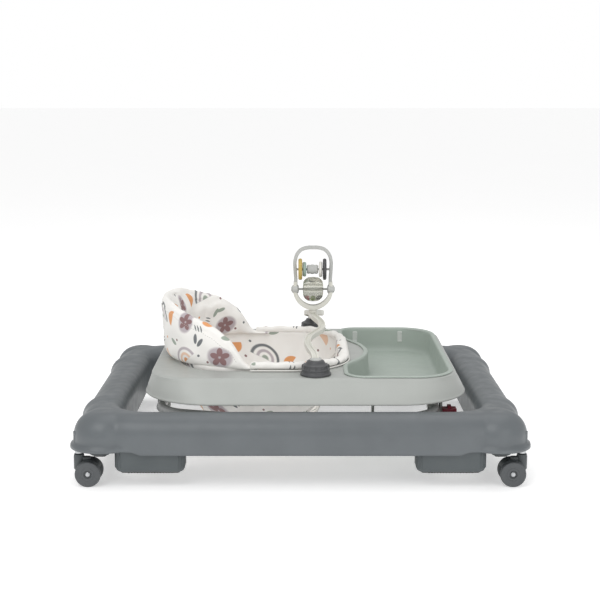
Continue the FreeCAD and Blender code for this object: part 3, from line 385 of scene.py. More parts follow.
def piece(name, parts, finish, body=None, stands_for=(), crease=35.0):
    """One object from lists of points and faces in millimetres, normals outward."""
    shape = bmesh.new()
    for points, faces in parts:
        corners = [shape.verts.new([c * MM for c in p]) for p in points]
        for face in faces:
            ring = [corners[i] for i in dict.fromkeys(face)]
            if len(ring) > 2:
                shape.faces.new(ring)
    bmesh.ops.remove_doubles(shape, verts=shape.verts, dist=2e-6)
    bmesh.ops.recalc_face_normals(shape, faces=shape.faces)
    mesh = bpy.data.meshes.new(name)
    shape.to_mesh(mesh)
    shape.free()
    mesh.shade_smooth()
    mesh.set_sharp_from_angle(angle=math.radians(crease))
    mesh.materials.append(finish)
    obj = bpy.data.objects.new(name, mesh)
    scene.collection.objects.link(obj)
    if body:
        settle(obj, body, stands_for)
    return obj


def settle(obj, body, stands_for=()):
    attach(obj, body)
    if stands_for:
        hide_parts(*stands_for)


def frozen(obj):
    """The object with its modifiers worked into a plain mesh."""
    bpy.context.view_layer.update()
    ready = obj.evaluated_get(bpy.context.evaluated_depsgraph_get())
    mesh = bpy.data.meshes.new_from_object(ready)
    obj.modifiers.clear()
    obj.data = mesh
    return obj


def lathe(profile, centre, axis, steps=48):
    """A turned solid from (radius, height) pairs about an axis through centre."""
    centre = np.array(centre, float)
    along = {"X": 0, "Y": 1, "Z": 2}[axis]
    across, up = [i for i in range(3) if i != along]
    rings = []
    for radius, height in profile:
        turn = np.arange(steps) * 2 * math.pi / steps
        ring = np.tile(centre, (steps, 1))
        ring[:, across] += radius * np.cos(turn)
        ring[:, up] += radius * np.sin(turn)
        ring[:, along] += height
        rings.append(ring)
    return skin(rings, ends=True)


def smooth_line(points, count):
    """Evenly spaced points on a smooth line through the given ones."""
    points = np.asarray(points, float)
    padded = np.vstack([2 * points[0] - points[1], points, 2 * points[-1] - points[-2]])
    line = []
    for i in range(1, len(padded) - 2):
        a, b, c, d = padded[i - 1:i + 3]
        for t in np.linspace(0, 1, 24, endpoint=False):
            line.append(0.5 * (2 * b + (c - a) * t + (2 * a - 5 * b + 4 * c - d) * t * t
                               + (3 * b - a - 3 * c + d) * t ** 3))
    line.append(padded[-2])
    line = np.array(line)
    steps = np.concatenate([[0], np.cumsum(np.linalg.norm(np.diff(line, axis=0), axis=1))])
    even = np.linspace(0, steps[-1], count)
    return np.column_stack([np.interp(even, steps, line[:, i]) for i in range(3)])


def sweep(line, section, side, closed=False, sizes=None):
    """A skin along a line, its section given as (across, up) pairs, across kept near side."""
    line = np.asarray(line, float)
    ahead = np.roll(line, -1, 0) - np.roll(line, 1, 0)
    if not closed:
        ahead[0] = line[1] - line[0]
        ahead[-1] = line[-1] - line[-2]
    ahead /= np.linalg.norm(ahead, axis=1)[:, None]
    side = np.broadcast_to(np.asarray(side, float), line.shape)
    across = side - (side * ahead).sum(1)[:, None] * ahead
    across /= np.linalg.norm(across, axis=1)[:, None]
    up = np.cross(ahead, across)
    rings = []
    for i, point in enumerate(line):
        scale = 1 if sizes is None else sizes[i]
        rings.append([point + scale * (s * across[i] + u * up[i]) for s, u in section])
    return skin(rings, round_path=closed, ends=not closed)


def round_section(radius, steps=12):
    turns = [i * 2 * math.pi / steps for i in range(steps)]
    return [(radius * math.cos(t), radius * math.sin(t)) for t in turns]


def corner_distance(x, y, half_x, half_y, radius):
    """Distance from a rounded rectangle, below zero inside it."""
    qx = np.abs(x) - (half_x - radius)
    qy = np.abs(y) - (half_y - radius)
    return np.hypot(np.maximum(qx, 0), np.maximum(qy, 0)) + np.minimum(np.maximum(qx, qy), 0) - radius


def round_corner(first, second, radius):
    """Where two faces meet, with the corner between them rounded."""
    a, b = first + radius, second + radius
    return np.minimum(np.maximum(a, b), 0) + np.hypot(np.maximum(a, 0), np.maximum(b, 0)) - radius


def melt(first, second, width):
    """Two solids joined with a small fillet between them."""
    near = np.maximum(width - np.abs(first - second), 0) / width
    return np.minimum(first, second) - near * near * width / 4


def rim_path(half_x, half_y, radius, count):
    """Points and outward directions round a rounded rectangle."""
    corners = []
    for sx, sy, start in ((1, 1, 0), (-1, 1, 90), (-1, -1, 180), (1, -1, 270)):
        for step in range(25):
            turn = math.radians(start + 90 * step / 24)
            corners.append((sx * (half_x - radius) + radius * math.cos(turn),
                            sy * (half_y - radius) + radius * math.sin(turn), turn))
    corners.append(corners[0][:2] + (2 * math.pi,))
    corners = np.array(corners)
    steps = np.concatenate([[0], np.cumsum(np.hypot(*np.diff(corners[:, :2], axis=0).T))])
    even = np.linspace(0, steps[-1], count, endpoint=False)
    x, y, turn = (np.interp(even, steps, corners[:, i]) for i in range(3))
    return x, y, np.cos(turn), np.sin(turn)


def reach(distance, start, heading, furthest):
    """How far each ray runs before it leaves the solid for good."""
    spans = np.linspace(0, furthest, 90)
    found = np.zeros(start.shape[:-1])
    for span in spans:
        spots = start + heading * span
        found = np.where(distance(spots[..., 0], spots[..., 1], spots[..., 2]) < 0, span, found)
    low, high = found, found + spans[1]
    for _ in range(16):
        middle = (low + high) / 2
        spots = start + heading * middle[..., None]
        within = distance(spots[..., 0], spots[..., 1], spots[..., 2]) < 0
        low, high = np.where(within, middle, low), np.where(within, high, middle)
    return start + heading * low[..., None]


# ---------------------------------------------------------------- node trees for what repeats
def new_tree(name, inputs):
    tree = bpy.data.node_groups.new(name, "GeometryNodeTree")
    tree.interface.new_socket("Geometry", in_out="INPUT", socket_type="NodeSocketGeometry")
    for label, kind, value in inputs:
        socket = tree.interface.new_socket(label, in_out="INPUT", socket_type=kind)
        if value is not None:
            socket.default_value = value
    tree.interface.new_socket("Geometry", in_out="OUTPUT", socket_type="NodeSocketGeometry")
    return tree, tree.nodes.new("NodeGroupInput"), tree.nodes.new("NodeGroupOutput")


def close_tree(tree, start, end, instances):
    real = tree.nodes.new("GeometryNodeRealizeInstances")
    painted = tree.nodes.new("GeometryNodeSetMaterial")
    link(tree, instances, real.inputs[0])
    link(tree, real.outputs[0], painted.inputs["Geometry"])
    link(tree, start.outputs["Finish"], painted.inputs["Material"])
    link(tree, painted.outputs[0], end.inputs[0])
    return tree


def stitch_tree():
    """Short thread stitches laid end to end along each line of the mesh."""
    tree, start, end = new_tree("stitch_row", (
        ("Pitch", "NodeSocketFloat", 0.004), ("Stitch", "NodeSocketVector", (1, 1, 1)),
        ("Finish", "NodeSocketMaterial", None)))
    line = tree.nodes.new("GeometryNodeMeshToCurve")
    evenly = tree.nodes.new("GeometryNodeResampleCurve")
    evenly.mode = "LENGTH"
    tangent = tree.nodes.new("GeometryNodeInputTangent")
    turned = tree.nodes.new("FunctionNodeAlignRotationToVector")
    turned.axis = "X"
    stitch = tree.nodes.new("GeometryNodeMeshUVSphere")
    stitch.inputs["Segments"].default_value = 6
    stitch.inputs["Rings"].default_value = 4
    stitch.inputs["Radius"].default_value = 1.0
    copies = tree.nodes.new("GeometryNodeInstanceOnPoints")
    link(tree, start.outputs["Geometry"], line.inputs["Mesh"])
    link(tree, line.outputs[0], evenly.inputs["Curve"])
    link(tree, start.outputs["Pitch"], evenly.inputs["Length"])
    link(tree, tangent.outputs[0], turned.inputs["Vector"])
    link(tree, evenly.outputs[0], copies.inputs["Points"])
    link(tree, stitch.outputs["Mesh"], copies.inputs["Instance"])
    link(tree, turned.outputs[0], copies.inputs["Rotation"])
    link(tree, start.outputs["Stitch"], copies.inputs["Scale"])
    return close_tree(tree, start, end, copies.outputs[0])


def bar_tree():
    """Equal rounded bars in a straight row."""
    tree, start, end = new_tree("bar_row", (
        ("Count", "NodeSocketInt", 8), ("First", "NodeSocketVector", (0, 0, 0)),
        ("Step", "NodeSocketVector", (0.01, 0, 0)), ("Turn", "NodeSocketVector", (0, 0, 0)),
        ("Radius", "NodeSocketFloat", 0.002), ("Length", "NodeSocketFloat", 0.02),
        ("Finish", "NodeSocketMaterial", None)))
    row = tree.nodes.new("GeometryNodeMeshLine")
    row.mode = "OFFSET"
    bar = tree.nodes.new("GeometryNodeMeshCylinder")
    bar.inputs["Vertices"].default_value = 8
    copies = tree.nodes.new("GeometryNodeInstanceOnPoints")
    spun = tree.nodes.new("FunctionNodeEulerToRotation")
    link(tree, start.outputs["Count"], row.inputs["Count"])
    link(tree, start.outputs["First"], row.inputs["Start Location"])
    link(tree, start.outputs["Step"], row.inputs["Offset"])
    link(tree, start.outputs["Radius"], bar.inputs["Radius"])
    link(tree, start.outputs["Length"], bar.inputs["Depth"])
    link(tree, row.outputs["Mesh"], copies.inputs["Points"])
    link(tree, bar.outputs["Mesh"], copies.inputs["Instance"])
    link(tree, start.outputs["Turn"], spun.inputs[0])
    link(tree, spun.outputs[0], copies.inputs["Rotation"])
    return close_tree(tree, start, end, copies.outputs[0])


STITCH_ROW = stitch_tree()
BAR_ROW = bar_tree()


def grow(name, tree, seed_parts, values):
    mesh = bpy.data.meshes.new(name)
    points, edges = seed_parts
    mesh.from_pydata([[c * MM for c in p] for p in points], edges, [])
    obj = bpy.data.objects.new(name, mesh)
    scene.collection.objects.link(obj)
    modifier = obj.modifiers.new("grow", "NODES")
    modifier.node_group = tree
    sockets = {s.name: s.identifier for s in tree.interface.items_tree if s.in_out == "INPUT"}
    for label, value in values.items():
        modifier[sockets[label]] = value
    frozen(obj)
    obj.data.shade_smooth()
    return obj


def stitches(name, line, closed, body):
    pitch, length, thick = 4.2, 1.25, 0.4
    line = np.asarray(line)
    edges = [(i, i + 1) for i in range(len(line) - 1)]
    if closed:
        edges.append((len(line) - 1, 0))
    obj = grow(name, STITCH_ROW, (line.tolist(), edges), {
        "Pitch": pitch * MM, "Stitch": (length * MM, thick * MM, thick * MM), "Finish": THREAD})
    settle(obj, body)
    return obj


# ---------------------------------------------------------------- floor frame
RING_MIDDLE = (312.5, 262.5, 60)
POD = (303, 248)
KNUCKLE = (316, 158)


def ring_distance(x, y, z):
    """The floor ring: a crested bar with domed corners and knuckles melted into it."""
    outer = round_corner(corner_distance(x, y, 345, 292, 95), z - 112, 32)
    inner = round_corner(-corner_distance(x, y, 280, 233, 48), z - 112, 22)
    bar = np.maximum(outer, inner)
    ax, ay = np.abs(x), np.abs(y)
    pod = round_corner(np.hypot(ax - POD[0], ay - POD[1]) - 46, z - 113, 36)
    lip = round_corner(np.hypot(ax - POD[0], ay - POD[1]) - 52, z - 65, 3)
    knuckle = round_corner(np.hypot(ax - KNUCKLE[0], ay - KNUCKLE[1]) - 33, z - 108, 26)
    body = melt(melt(bar, pod, 2.5), knuckle, 10)
    return melt(body, np.maximum(lip, -corner_distance(x, y, 288, 241, 48)), 3)


def make_floor_ring():
    count = 640
    x, y, out_x, out_y = rim_path(*RING_MIDDLE, count)
    near_pod = np.hypot(np.abs(x) - POD[0], np.abs(y) - POD[1])
    low = WALL_FOOT + 5 * np.clip((62 - near_pod) / 12, 0, 1)
    middle = 82.0
    starts, headings = [], []
    levels = np.linspace(0, 1, 9)[:-1]
    for level in levels:
        starts.append(np.column_stack([x, y, low + level * (middle - low)]))
        headings.append(np.column_stack([out_x, out_y, 0 * x]))
    for turn in np.linspace(0, math.pi, 38):
        starts.append(np.column_stack([x, y, 0 * x + middle]))
        headings.append(np.column_stack([out_x * math.cos(turn), out_y * math.cos(turn),
                                         0 * x + math.sin(turn)]))
    for level in levels[::-1]:
        starts.append(np.column_stack([x, y, 0 * x + WALL_FOOT + level * (middle - WALL_FOOT)]))
        headings.append(np.column_stack([-out_x, -out_y, 0 * x]))
    surface = reach(ring_distance, np.array(starts), np.array(headings), 90)
    ring = piece("floor_ring", [skin(surface.transpose(1, 0, 2), round_ring=False, round_path=True)],
                 SLATE, crease=60)
    turn_outward(ring, Vector((0.3125, 0, 0.08)))
    wall = ring.modifiers.new("wall", "SOLIDIFY")
    wall.thickness = 0.0028
    wall.offset = -1
    wall.use_even_offset = False
    frozen(ring)
    settle(ring, "base", ["base_shell"])
    posts = []
    for sx in SIDES:
        for sy in SIDES:
            posts.append(lathe([(4.2, 59), (8, 59), (8, 84)], (sx * CASTOR_X, sy * CASTOR_Y, 0), "Z", 24))
            for px, py in ((229.5 - 28, 267), (229.5 + 28, 267), (320, 155 - 22), (320, 155 + 22)):
                posts.append(lathe([(2.6, 66.4), (6, 66.4), (6, 100)], (sx * px, sy * py, 0), "Z", 16))
    piece("ring_posts", posts, SLATE, "base")


def turn_outward(obj, inner_point):
    """An open skin's faces turned away from a point that lies inside it."""
    mesh = obj.data
    nearest = min(mesh.polygons, key=lambda f: (f.center - inner_point).length)
    if nearest.normal.dot(nearest.center - inner_point) < 0:
        mesh.flip_normals()


def make_stair_blocks():
    """Ribbed blocks with soft corners, and ribbed rubber strips under them."""
    spots = []
    for sx in SIDES:
        for sy in SIDES:
            where = f"{END_NAME[sx]}_{SIDE_NAME[sy]}"
            spots.append((f"side_{where}", sx * 229.5, sy * 267, 54, 19))
            spots.append((f"end_{where}", sx * 320, sy * 155, 19, 44))
    strips = []
    for name, x, y, half_x, half_y in spots:
        rings = []
        for inset, z in ((15, 24.1), (8, 24.1), (5, 24.9), (2.6, 26.9), (1.2, 30.3), (0.8, 34), (0.8, 57),
                         (0.2, 59), (0, 60.5), (0, 66)):
            px, py, _, _ = rim_path(half_x - inset, half_y - inset, max(12 - inset * 0.6, 2.5), 96)
            rings.append(np.column_stack([px + x, py + y, 0 * px + z]))
        shell = skin(rings, ends=True)
        ribs = []
        for sx in SIDES:
            for sy in SIDES:
                cx, cy = x + sx * (half_x - 12.2), y + sy * (half_y - 12.2)
                turns = [math.radians(a) for a in (18, 45, 72)]
                for turn in turns:
                    ribs.append(lathe([(0.5, 31), (1.1, 32), (1.1, 56), (0.5, 57)],
                                      (cx + sx * 11.3 * math.cos(turn), cy + sy * 11.3 * math.sin(turn), 0),
                                      "Z", 8))
        piece(f"stair_block_{name}_shell", [shell] + ribs, BLOCK, "base",
              [f"stair_block_{name}"], crease=40)
        wide, long = (half_x, half_y) if half_x > half_y else (half_y, half_x)
        count = int((2 * wide - 34) / 4.4)
        first = -(count - 1) * 2.2
        along_x = half_x > half_y
        strip = grow(f"grip_ribs_{name}", BAR_ROW, ([(0, 0, 0)], []), {
            "Count": count, "Radius": 1.5 * MM, "Length": (2 * long - 22) * MM, "Finish": GRIP,
            "First": ((x + first if along_x else x) * MM, (y if along_x else y + first) * MM, 22.5 * MM),
            "Step": ((4.4 * MM, 0, 0) if along_x else (0, 4.4 * MM, 0)),
            "Turn": (math.pi / 2, 0, 0) if along_x else (0, math.pi / 2, 0)})
        settle(strip, "base")
        px, py, _, _ = rim_path(half_x - 9, half_y - 9, 4, 48)
        strips.append(skin([np.column_stack([px + x, py + y, 0 * px + z]) for z in (22.4, 24.2)], ends=True))
    piece("grip_strip_bodies", strips, GRIP, "base", ["grip_strips"])


def make_castors():
    for sx in SIDES:
        for sy in SIDES:
            where = f"{END_NAME[sx]}_{SIDE_NAME[sy]}"
            stem = (sx * CASTOR_X, sy * CASTOR_Y, 0)
            hub = (sx * (CASTOR_X - CASTOR_TRAIL), sy * CASTOR_Y, WHEEL_RADIUS)
            parts = [lathe([(4.1, 24.2), (7.2, 24.2), (8.2, 26), (8.2, 45), (7.4, 48.6), (4.1, 50)], stem,
                           "Z", 32)]
            parts.append(lathe([(4.6, -9), (15.2, -9), (16, -8), (16, 8), (15.2, 9), (4.6, 9)], hub, "Y", 48))
            hood = []
            for turn in np.linspace(math.radians(28), math.radians(152), 20):
                cx, cz = math.cos(turn) * sx, math.sin(turn)
                hood.append([(hub[0] + r * cx, hub[1] + w, hub[2] + r * cz) for r, w in (
                    (16.5, -10.2), (19.4, -10.2), (20.6, -9), (20.9, 0), (20.6, 9), (19.4, 10.2),
                    (16.5, 10.2))])
            parts.append(skin(hood, ends=True))
            arm_x = sx * (CASTOR_X - CASTOR_TRAIL / 2)
            web = []
            for z, wide in ((20, 5), (28, 7), (36, 8.4), (44, 8)):
                px, py, _, _ = rim_path(10, wide * 0.6, 3, 24)
                web.append(np.column_stack([px + arm_x, py + hub[1], 0 * px + z]))
            parts.append(skin(web, ends=True))
            piece(f"castor_hood_{where}", parts, HOUSING, f"castor_{where}",
                  [f"castor_fork_{where}"], crease=40)
            discs = []
            for side in SIDES:
                profile = [(4.6, 10.9), (16.4, 10.9), (18.9, 11.4), (19.8, 12.6), (20, 14.5), (19.8, 16.6),
                           (18.9, 17.7), (17.6, 18), (16.4, 17.4), (12, 16.9), (10.4, 16.9), (9.2, 17.6),
                           (6.4, 17.6), (5.6, 16.6), (5.4, 15.6), (0.1, 15.6)]
                discs.append(lathe([(r, side * h) for r, h in profile], hub, "Y", 64))
            discs.append(lathe([(4.55, -11), (4.55, 11)], hub, "Y", 24))
            piece(f"castor_discs_{where}", discs, TYRE, f"wheels_{where}",
                  [f"castor_wheels_{where}"], crease=30)
            caps = [lathe([(r, side * h) for r, h in ((3.6, 15.7), (3.6, 16.8), (3.0, 17.3), (1.8, 17.3),
                                                      (1.6, 16.9), (0.1, 16.9))], hub, "Y", 24)
                    for side in SIDES]
            piece(f"wheel_caps_{where}", caps, STEEL, f"wheels_{where}", crease=30)


# ---------------------------------------------------------------- tray
TUB_REAR, TUB_FRONT, TUB_HALF, TUB_TURN = 74, 240, 204, 176


def tub_outline(x, y):
    """The play tub seen from above: a rounded block with a scoop for the seat."""
    corner = np.where(x > 157, 58, 29)
    half = (TUB_FRONT - TUB_REAR) / 2
    block = corner_distance(x - TUB_REAR - half, y, half, TUB_HALF, corner)
    scoop = 168 - np.hypot(x + 55, y)
    return round_corner(block, scoop, 14)


def tub_ring(grow_by, z):
    count = 260
    turn = np.arange(count) * 2 * math.pi / count
    start = np.column_stack([TUB_TURN - 26 * np.sin(turn) ** 2, 150 * np.sin(turn), 0 * turn])
    heading = np.column_stack([np.cos(turn), np.sin(turn), 0 * turn])
    edge = reach(lambda x, y, _: tub_outline(x, y) - grow_by, start, heading, 150)
    edge[:, 2] = z
    return edge


def make_tub():
    """One skin from under the tub, out over its rim and down into its floor."""
    under = [(-8, 111.6), (-3, 111.6), (-0.8, 113), (0, 116), (0.2, 155), (4.4, 155.2)]
    inside_wall = [(5.0, 155.9), (4.8, 156.9), (3.8, 157.6), (0.5, 157.7), (-1.2, 157.4), (-2.2, 156.4),
                   (-2.9, 154.4), (-3.2, 150), (-4.4, 126), (-5.2, 120.4), (-6.8, 117.2), (-9.6, 115.2),
                   (-13, 114.3), (-17, 114.1)]
    rings = [tub_ring(grow_by, z) for grow_by, z in under + inside_wall]
    piece("play_tub_skin", [skin(rings, lids=True)], TUB, "tray", ["play_tub"], crease=40)
    tabs = []
    for shift in SIDES:
        for sy in SIDES:
            face = sy * 200.9
            px, pz, _, _ = rim_path(4.6, 10, 1.6, 40)
            tabs.append(skin([np.column_stack([px * s + TAB_X + shift * TAB_SPACING / 2,
                                               0 * px + face - sy * d, pz * s + TAB_Z])
                              for s, d in ((1, -1.2), (1, 1.2), (0.92, 1.8), (0.75, 1.9), (0.68, 1.3),
                                           (0.4, 1.2))],
                             ends=True))
    piece("tub_tabs", tabs, TAB, "tray", crease=30)


def tray_ring(share, grow_by, z):
    """The tray's outline, from its foot at share 0 to its deck edge at share 1."""
    rear, front = LEAN_REAR * share - TRAY_REAR, TRAY_FRONT - LEAN_FRONT * share
    half = TRAY_HALF - LEAN_SIDE * share
    grow_by -= TRAY_INSET
    x, y, _, _ = rim_path((front - rear) / 2 + grow_by, half + grow_by, 112 - 42 * share, 420)
    return np.column_stack([x + (front + rear) / 2, y, 0 * x + z])


def make_tray():
    """The deck with its leaning skirt and rolled foot, open for the seat and the play tub."""
    skirt = [(0, -2.6, 118.4), (0, 0.4, 118.2), (0, 1.3, 119.2), (0, 1.2, 120.8), (0, 0.2, 122.2),
             (0.06, 0, 124)]
    skirt += [(share, 0, 124 + 28 * share) for share in (0.2, 0.4, 0.6, 0.8, 0.9)]
    skirt += [(1, 0.6, 152.6), (1, -0.6, 154.0), (1, -2.6, 154.8), (1, -5.4, 155.0)]
    rings = [tray_ring(share, grow_by, z) for share, grow_by, z in skirt]
    shape = bmesh.new()
    corners = [[shape.verts.new([c * MM for c in p]) for p in ring] for ring in rings]
    for low, high in zip(corners, corners[1:]):
        for j in range(len(low)):
            k = (j + 1) % len(low)
            shape.faces.new((low[j], low[k], high[k], high[j]))
    edge = corners[-1]
    seat_x, seat_y, _, _ = rim_path(SEAT_HALF_X, SEAT_HALF_Y, SEAT_CORNER, 220)
    opening = [shape.verts.new(((x + SEAT_MIDDLE) * MM, y * MM, DECK_TOP * MM))
               for x, y in zip(seat_x, seat_y)]
    tub = [shape.verts.new([c * MM for c in p]) for p in tub_ring(1.0, DECK_TOP)]
    borders = [[shape.edges.get((a, b)) or shape.edges.new((a, b)) for a, b in zip(loop, loop[1:] + loop[:1])]
               for loop in (edge, opening, tub)]
    bmesh.ops.triangle_fill(shape, edges=borders[0] + borders[1] + borders[2], use_beauty=True)
    for loop, lowest in ((opening, 0.127), (tub, 0.149)):
        below = [shape.verts.new((v.co.x, v.co.y, lowest)) for v in loop]
        for j in range(len(loop)):
            k = (j + 1) % len(loop)
            shape.faces.new((loop[j], loop[k], below[k], below[j]))
    bmesh.ops.recalc_face_normals(shape, faces=shape.faces)
    mesh = bpy.data.meshes.new("tray_moulding")
    shape.to_mesh(mesh)
    shape.free()
    mesh.materials.append(TRAY)
    tray = bpy.data.objects.new("tray_moulding", mesh)
    scene.collection.objects.link(tray)
    turn_outward(tray, Vector((-0.15, 0.19, 0.14)))
    wall = tray.modifiers.new("wall", "SOLIDIFY")
    wall.thickness = 0.0024
    wall.offset = -1
    frozen(tray)
    tray.data.shade_smooth()
    tray.data.set_sharp_from_angle(angle=math.radians(35))
    settle(tray, "tray", ["tray_deck"])
    posts = []
    for px, py in ((-190, 185), (-190, -185), (60, 200), (60, -200), (-60, 200), (-60, -200)):
        posts.append(lathe([(3, 124), (6, 124), (6.6, 152.2)], (px, py, 0), "Z", 20))
    piece("tray_posts", posts, TRAY, "tray")


# ---------------------------------------------------------------- seat
BACK_RIM = ((-236, 266), (-225, 264), (-205, 259), (-190, 251), (-170, 243), (-148, 235), (-130, 223),
            (-113, 209), (-103, 194), (-95, 180), (-88, 168), (-84, 163))


def back_height(x):
    """The back pad's top edge, which falls away along the wings."""
    return np.interp(x, [p[0] for p in BACK_RIM], [p[1] for p in BACK_RIM])


def swell(obj, pressure, cap, held_below):
    """Air pressed into a closed cloth form by simulation, each point moving no further than the cap."""
    rest = np.array([v.co for v in obj.data.vertices])
    held = obj.vertex_groups.new(name="held")
    held.add([i for i, p in enumerate(rest) if p[2] < held_below], 1.0, "REPLACE")
    cloth = obj.modifiers.new("swell", "CLOTH")
    cloth.settings.use_pressure = True
    cloth.settings.uniform_pressure_force = pressure
    cloth.settings.effector_weights.gravity = 0
    cloth.settings.vertex_group_mass = "held"
    cloth.settings.tension_stiffness = 25
    cloth.settings.compression_stiffness = 25
    cloth.settings.bending_stiffness = 2
    cloth.point_cache.frame_start = 1
    cloth.point_cache.frame_end = 20
    for moment in range(1, 21):
        scene.frame_set(moment)
    ready = obj.evaluated_get(bpy.context.evaluated_depsgraph_get())
    moved = np.array([v.co for v in ready.data.vertices]) - rest
    length = np.linalg.norm(moved, axis=1)
    moved *= np.minimum(1, cap / np.maximum(length, 1e-9))[:, None]
    obj.modifiers.clear()
    obj.vertex_groups.clear()
    obj.data.vertices.foreach_set("co", (rest + moved).ravel())
    obj.data.update()
    scene.frame_set(1)


def stuffed(name, parts, voxel, pressure, cap, held_below):
    """A closed form remeshed, blown up as cloth and smoothed."""
    obj = piece(name, parts, CLOTH)
    remesh = obj.modifiers.new("even", "REMESH")
    remesh.mode = "VOXEL"
    remesh.voxel_size = voxel
    frozen(obj)
    swell(obj, pressure, cap, held_below)
    smooth = obj.modifiers.new("smooth", "SMOOTH")
    smooth.factor = 0.5
    smooth.iterations = 3
    finer = obj.modifiers.new("finer", "SUBSURF")
    finer.levels = finer.render_levels = 1
    frozen(obj)
    obj.data.materials.clear()
    obj.data.materials.append(CLOTH)
    obj.data.shade_smooth()
    return obj


def map_cloth(obj, along, up):
    """The cloth's own map in metres, from functions of each point in millimetres."""
    points = np.array([v.co for v in obj.data.vertices]) / MM
    u, v = along(points) * MM, up(points) * MM
    layer = obj.data.uv_layers.new(name="cloth")
    corner = np.array([loop.vertex_index for loop in obj.data.loops])
    layer.data.foreach_set("uv", np.column_stack([u[corner], v[corner]]).astype(np.float32).ravel())


BACK_CENTRE = -70.0
BACK_MIDDLE = 153.0


def back_line(count, height):
    """Points along the back pad, from one wing's front end round to the other's."""
    turns = np.linspace(math.radians(-95.2), math.radians(95.2), count)
    x = BACK_CENTRE - BACK_MIDDLE * np.cos(turns)
    y = BACK_MIDDLE * np.sin(turns)
    rear = np.clip((BACK_CENTRE - x) / BACK_MIDDLE, 0, 1)
    square = 1 + 0.035 * np.sin(2 * np.abs(turns)) ** 2
    recline = 6 * rear * np.clip((height - 170) / 90, 0, 1)
    return turns, BACK_CENTRE + (x - BACK_CENTRE) * square - recline, y * square


def make_back_pad():
    count = 90
    turns, x, y = back_line(count, 0)
    tops = back_height(x) - 4
    rings = []
    for i, turn in enumerate(turns):
        top = max(tops[i], 162)
        middle, half = (top + 156.5) / 2, (top - 156.5) / 2
        away = np.array([-math.cos(turn), math.sin(turn)])
        ring = []
        for step in range(36):
            angle = step * 2 * math.pi / 36
            c, s = math.cos(angle), math.sin(angle)
            thick = 9.4 * abs(c) ** 0.8 * (1 if c > 0 else -1)
            tall = half * abs(s) ** 0.55 * (1 if s > 0 else -1)
            z = middle + tall
            lean = 5.5 * np.clip((z - 165) / 95, 0, 1) * max(math.cos(turn), 0)
            ring.append((x[i] + away[0] * (thick + lean), y[i] + away[1] * (thick + lean), z))
        rings.append(ring)
    pad = stuffed("back_pad", [skin(rings, ends=True)], 0.0048, 4.0, 0.007, 0.1585)
    points = np.array([v.co for v in pad.data.vertices]) / MM
    turn = np.arctan2(points[:, 1], BACK_CENTRE - points[:, 0])
    away = np.column_stack([-np.cos(turn), np.sin(turn), 0 * turn])
    depth = ((points[:, :2] - np.array([BACK_CENTRE, 0])) * away[:, :2]).sum(1) - BACK_MIDDLE
    top = back_height(points[:, 0])
    shift = np.zeros(len(points))
    seam = np.exp(-((top - 20 - points[:, 2]) / 1.6) ** 2) * (depth > 5)
    shift -= 1.0 * seam
    wing = np.clip((np.abs(np.degrees(turn)) - 35) / 30, 0, 1)
    fold = 4.5 * np.exp(-((top - 26 - points[:, 2]) / 15) ** 2) * wing * (depth < -4)
    crumple = (1.1 * np.sin(points[:, 2] * 0.13 + 5 * np.sin(turn * 3.1))
               * np.sin(turn * 8 + points[:, 2] * 0.05)
               + 0.8 * np.sin(turn * 21 + points[:, 2] * 0.11) * np.exp(-((points[:, 2] - 168) / 16) ** 2))
    shift += fold + crumple * np.clip((points[:, 2] - 158) / 10, 0, 1)
    points += away * (np.sign(depth) * shift)[:, None]
    pad.data.vertices.foreach_set("co", (points * MM).ravel())
    map_cloth(pad, lambda p: np.arctan2(p[:, 1], BACK_CENTRE - p[:, 0]) * BACK_MIDDLE,
              lambda p: p[:, 2] + 4 * np.sin(p[:, 0] * 0.02))
    settle(pad, "tray", ["seat_back_pad", "seat_back_board"])
    seam = []
    for i, turn in enumerate(turns):
        level = tops[i] - 16
        if level > 166:
            lean = 5.5 * max(math.cos(turn), 0) * np.clip((level - 165) / 95, 0, 1)
            seam.append((x[i] - math.cos(turn) * (lean + 15.4), y[i] + math.sin(turn) * (lean + 15.4), level))
    nearest = []
    points = np.array([v.co for v in pad.data.vertices]) / MM
    for spot in smooth_line(seam, 240):
        level = np.abs(points[:, 2] - spot[2]) < 3.5
        flat = np.hypot(points[:, 0] - spot[0], points[:, 1] - spot[1]) + 1e3 * ~level
        nearest.append(points[int(np.argmin(flat))])
    stitches("back_stitches", smooth_line(np.array(nearest)[::4], 240), False, "tray")
    return pad


def seat_line(grow_by, count):
    x, y, out_x, out_y = rim_path(SEAT_HALF_X + grow_by, SEAT_HALF_Y + grow_by,
                                  SEAT_CORNER + grow_by, count)
    return x + SEAT_MIDDLE, y, out_x, out_y


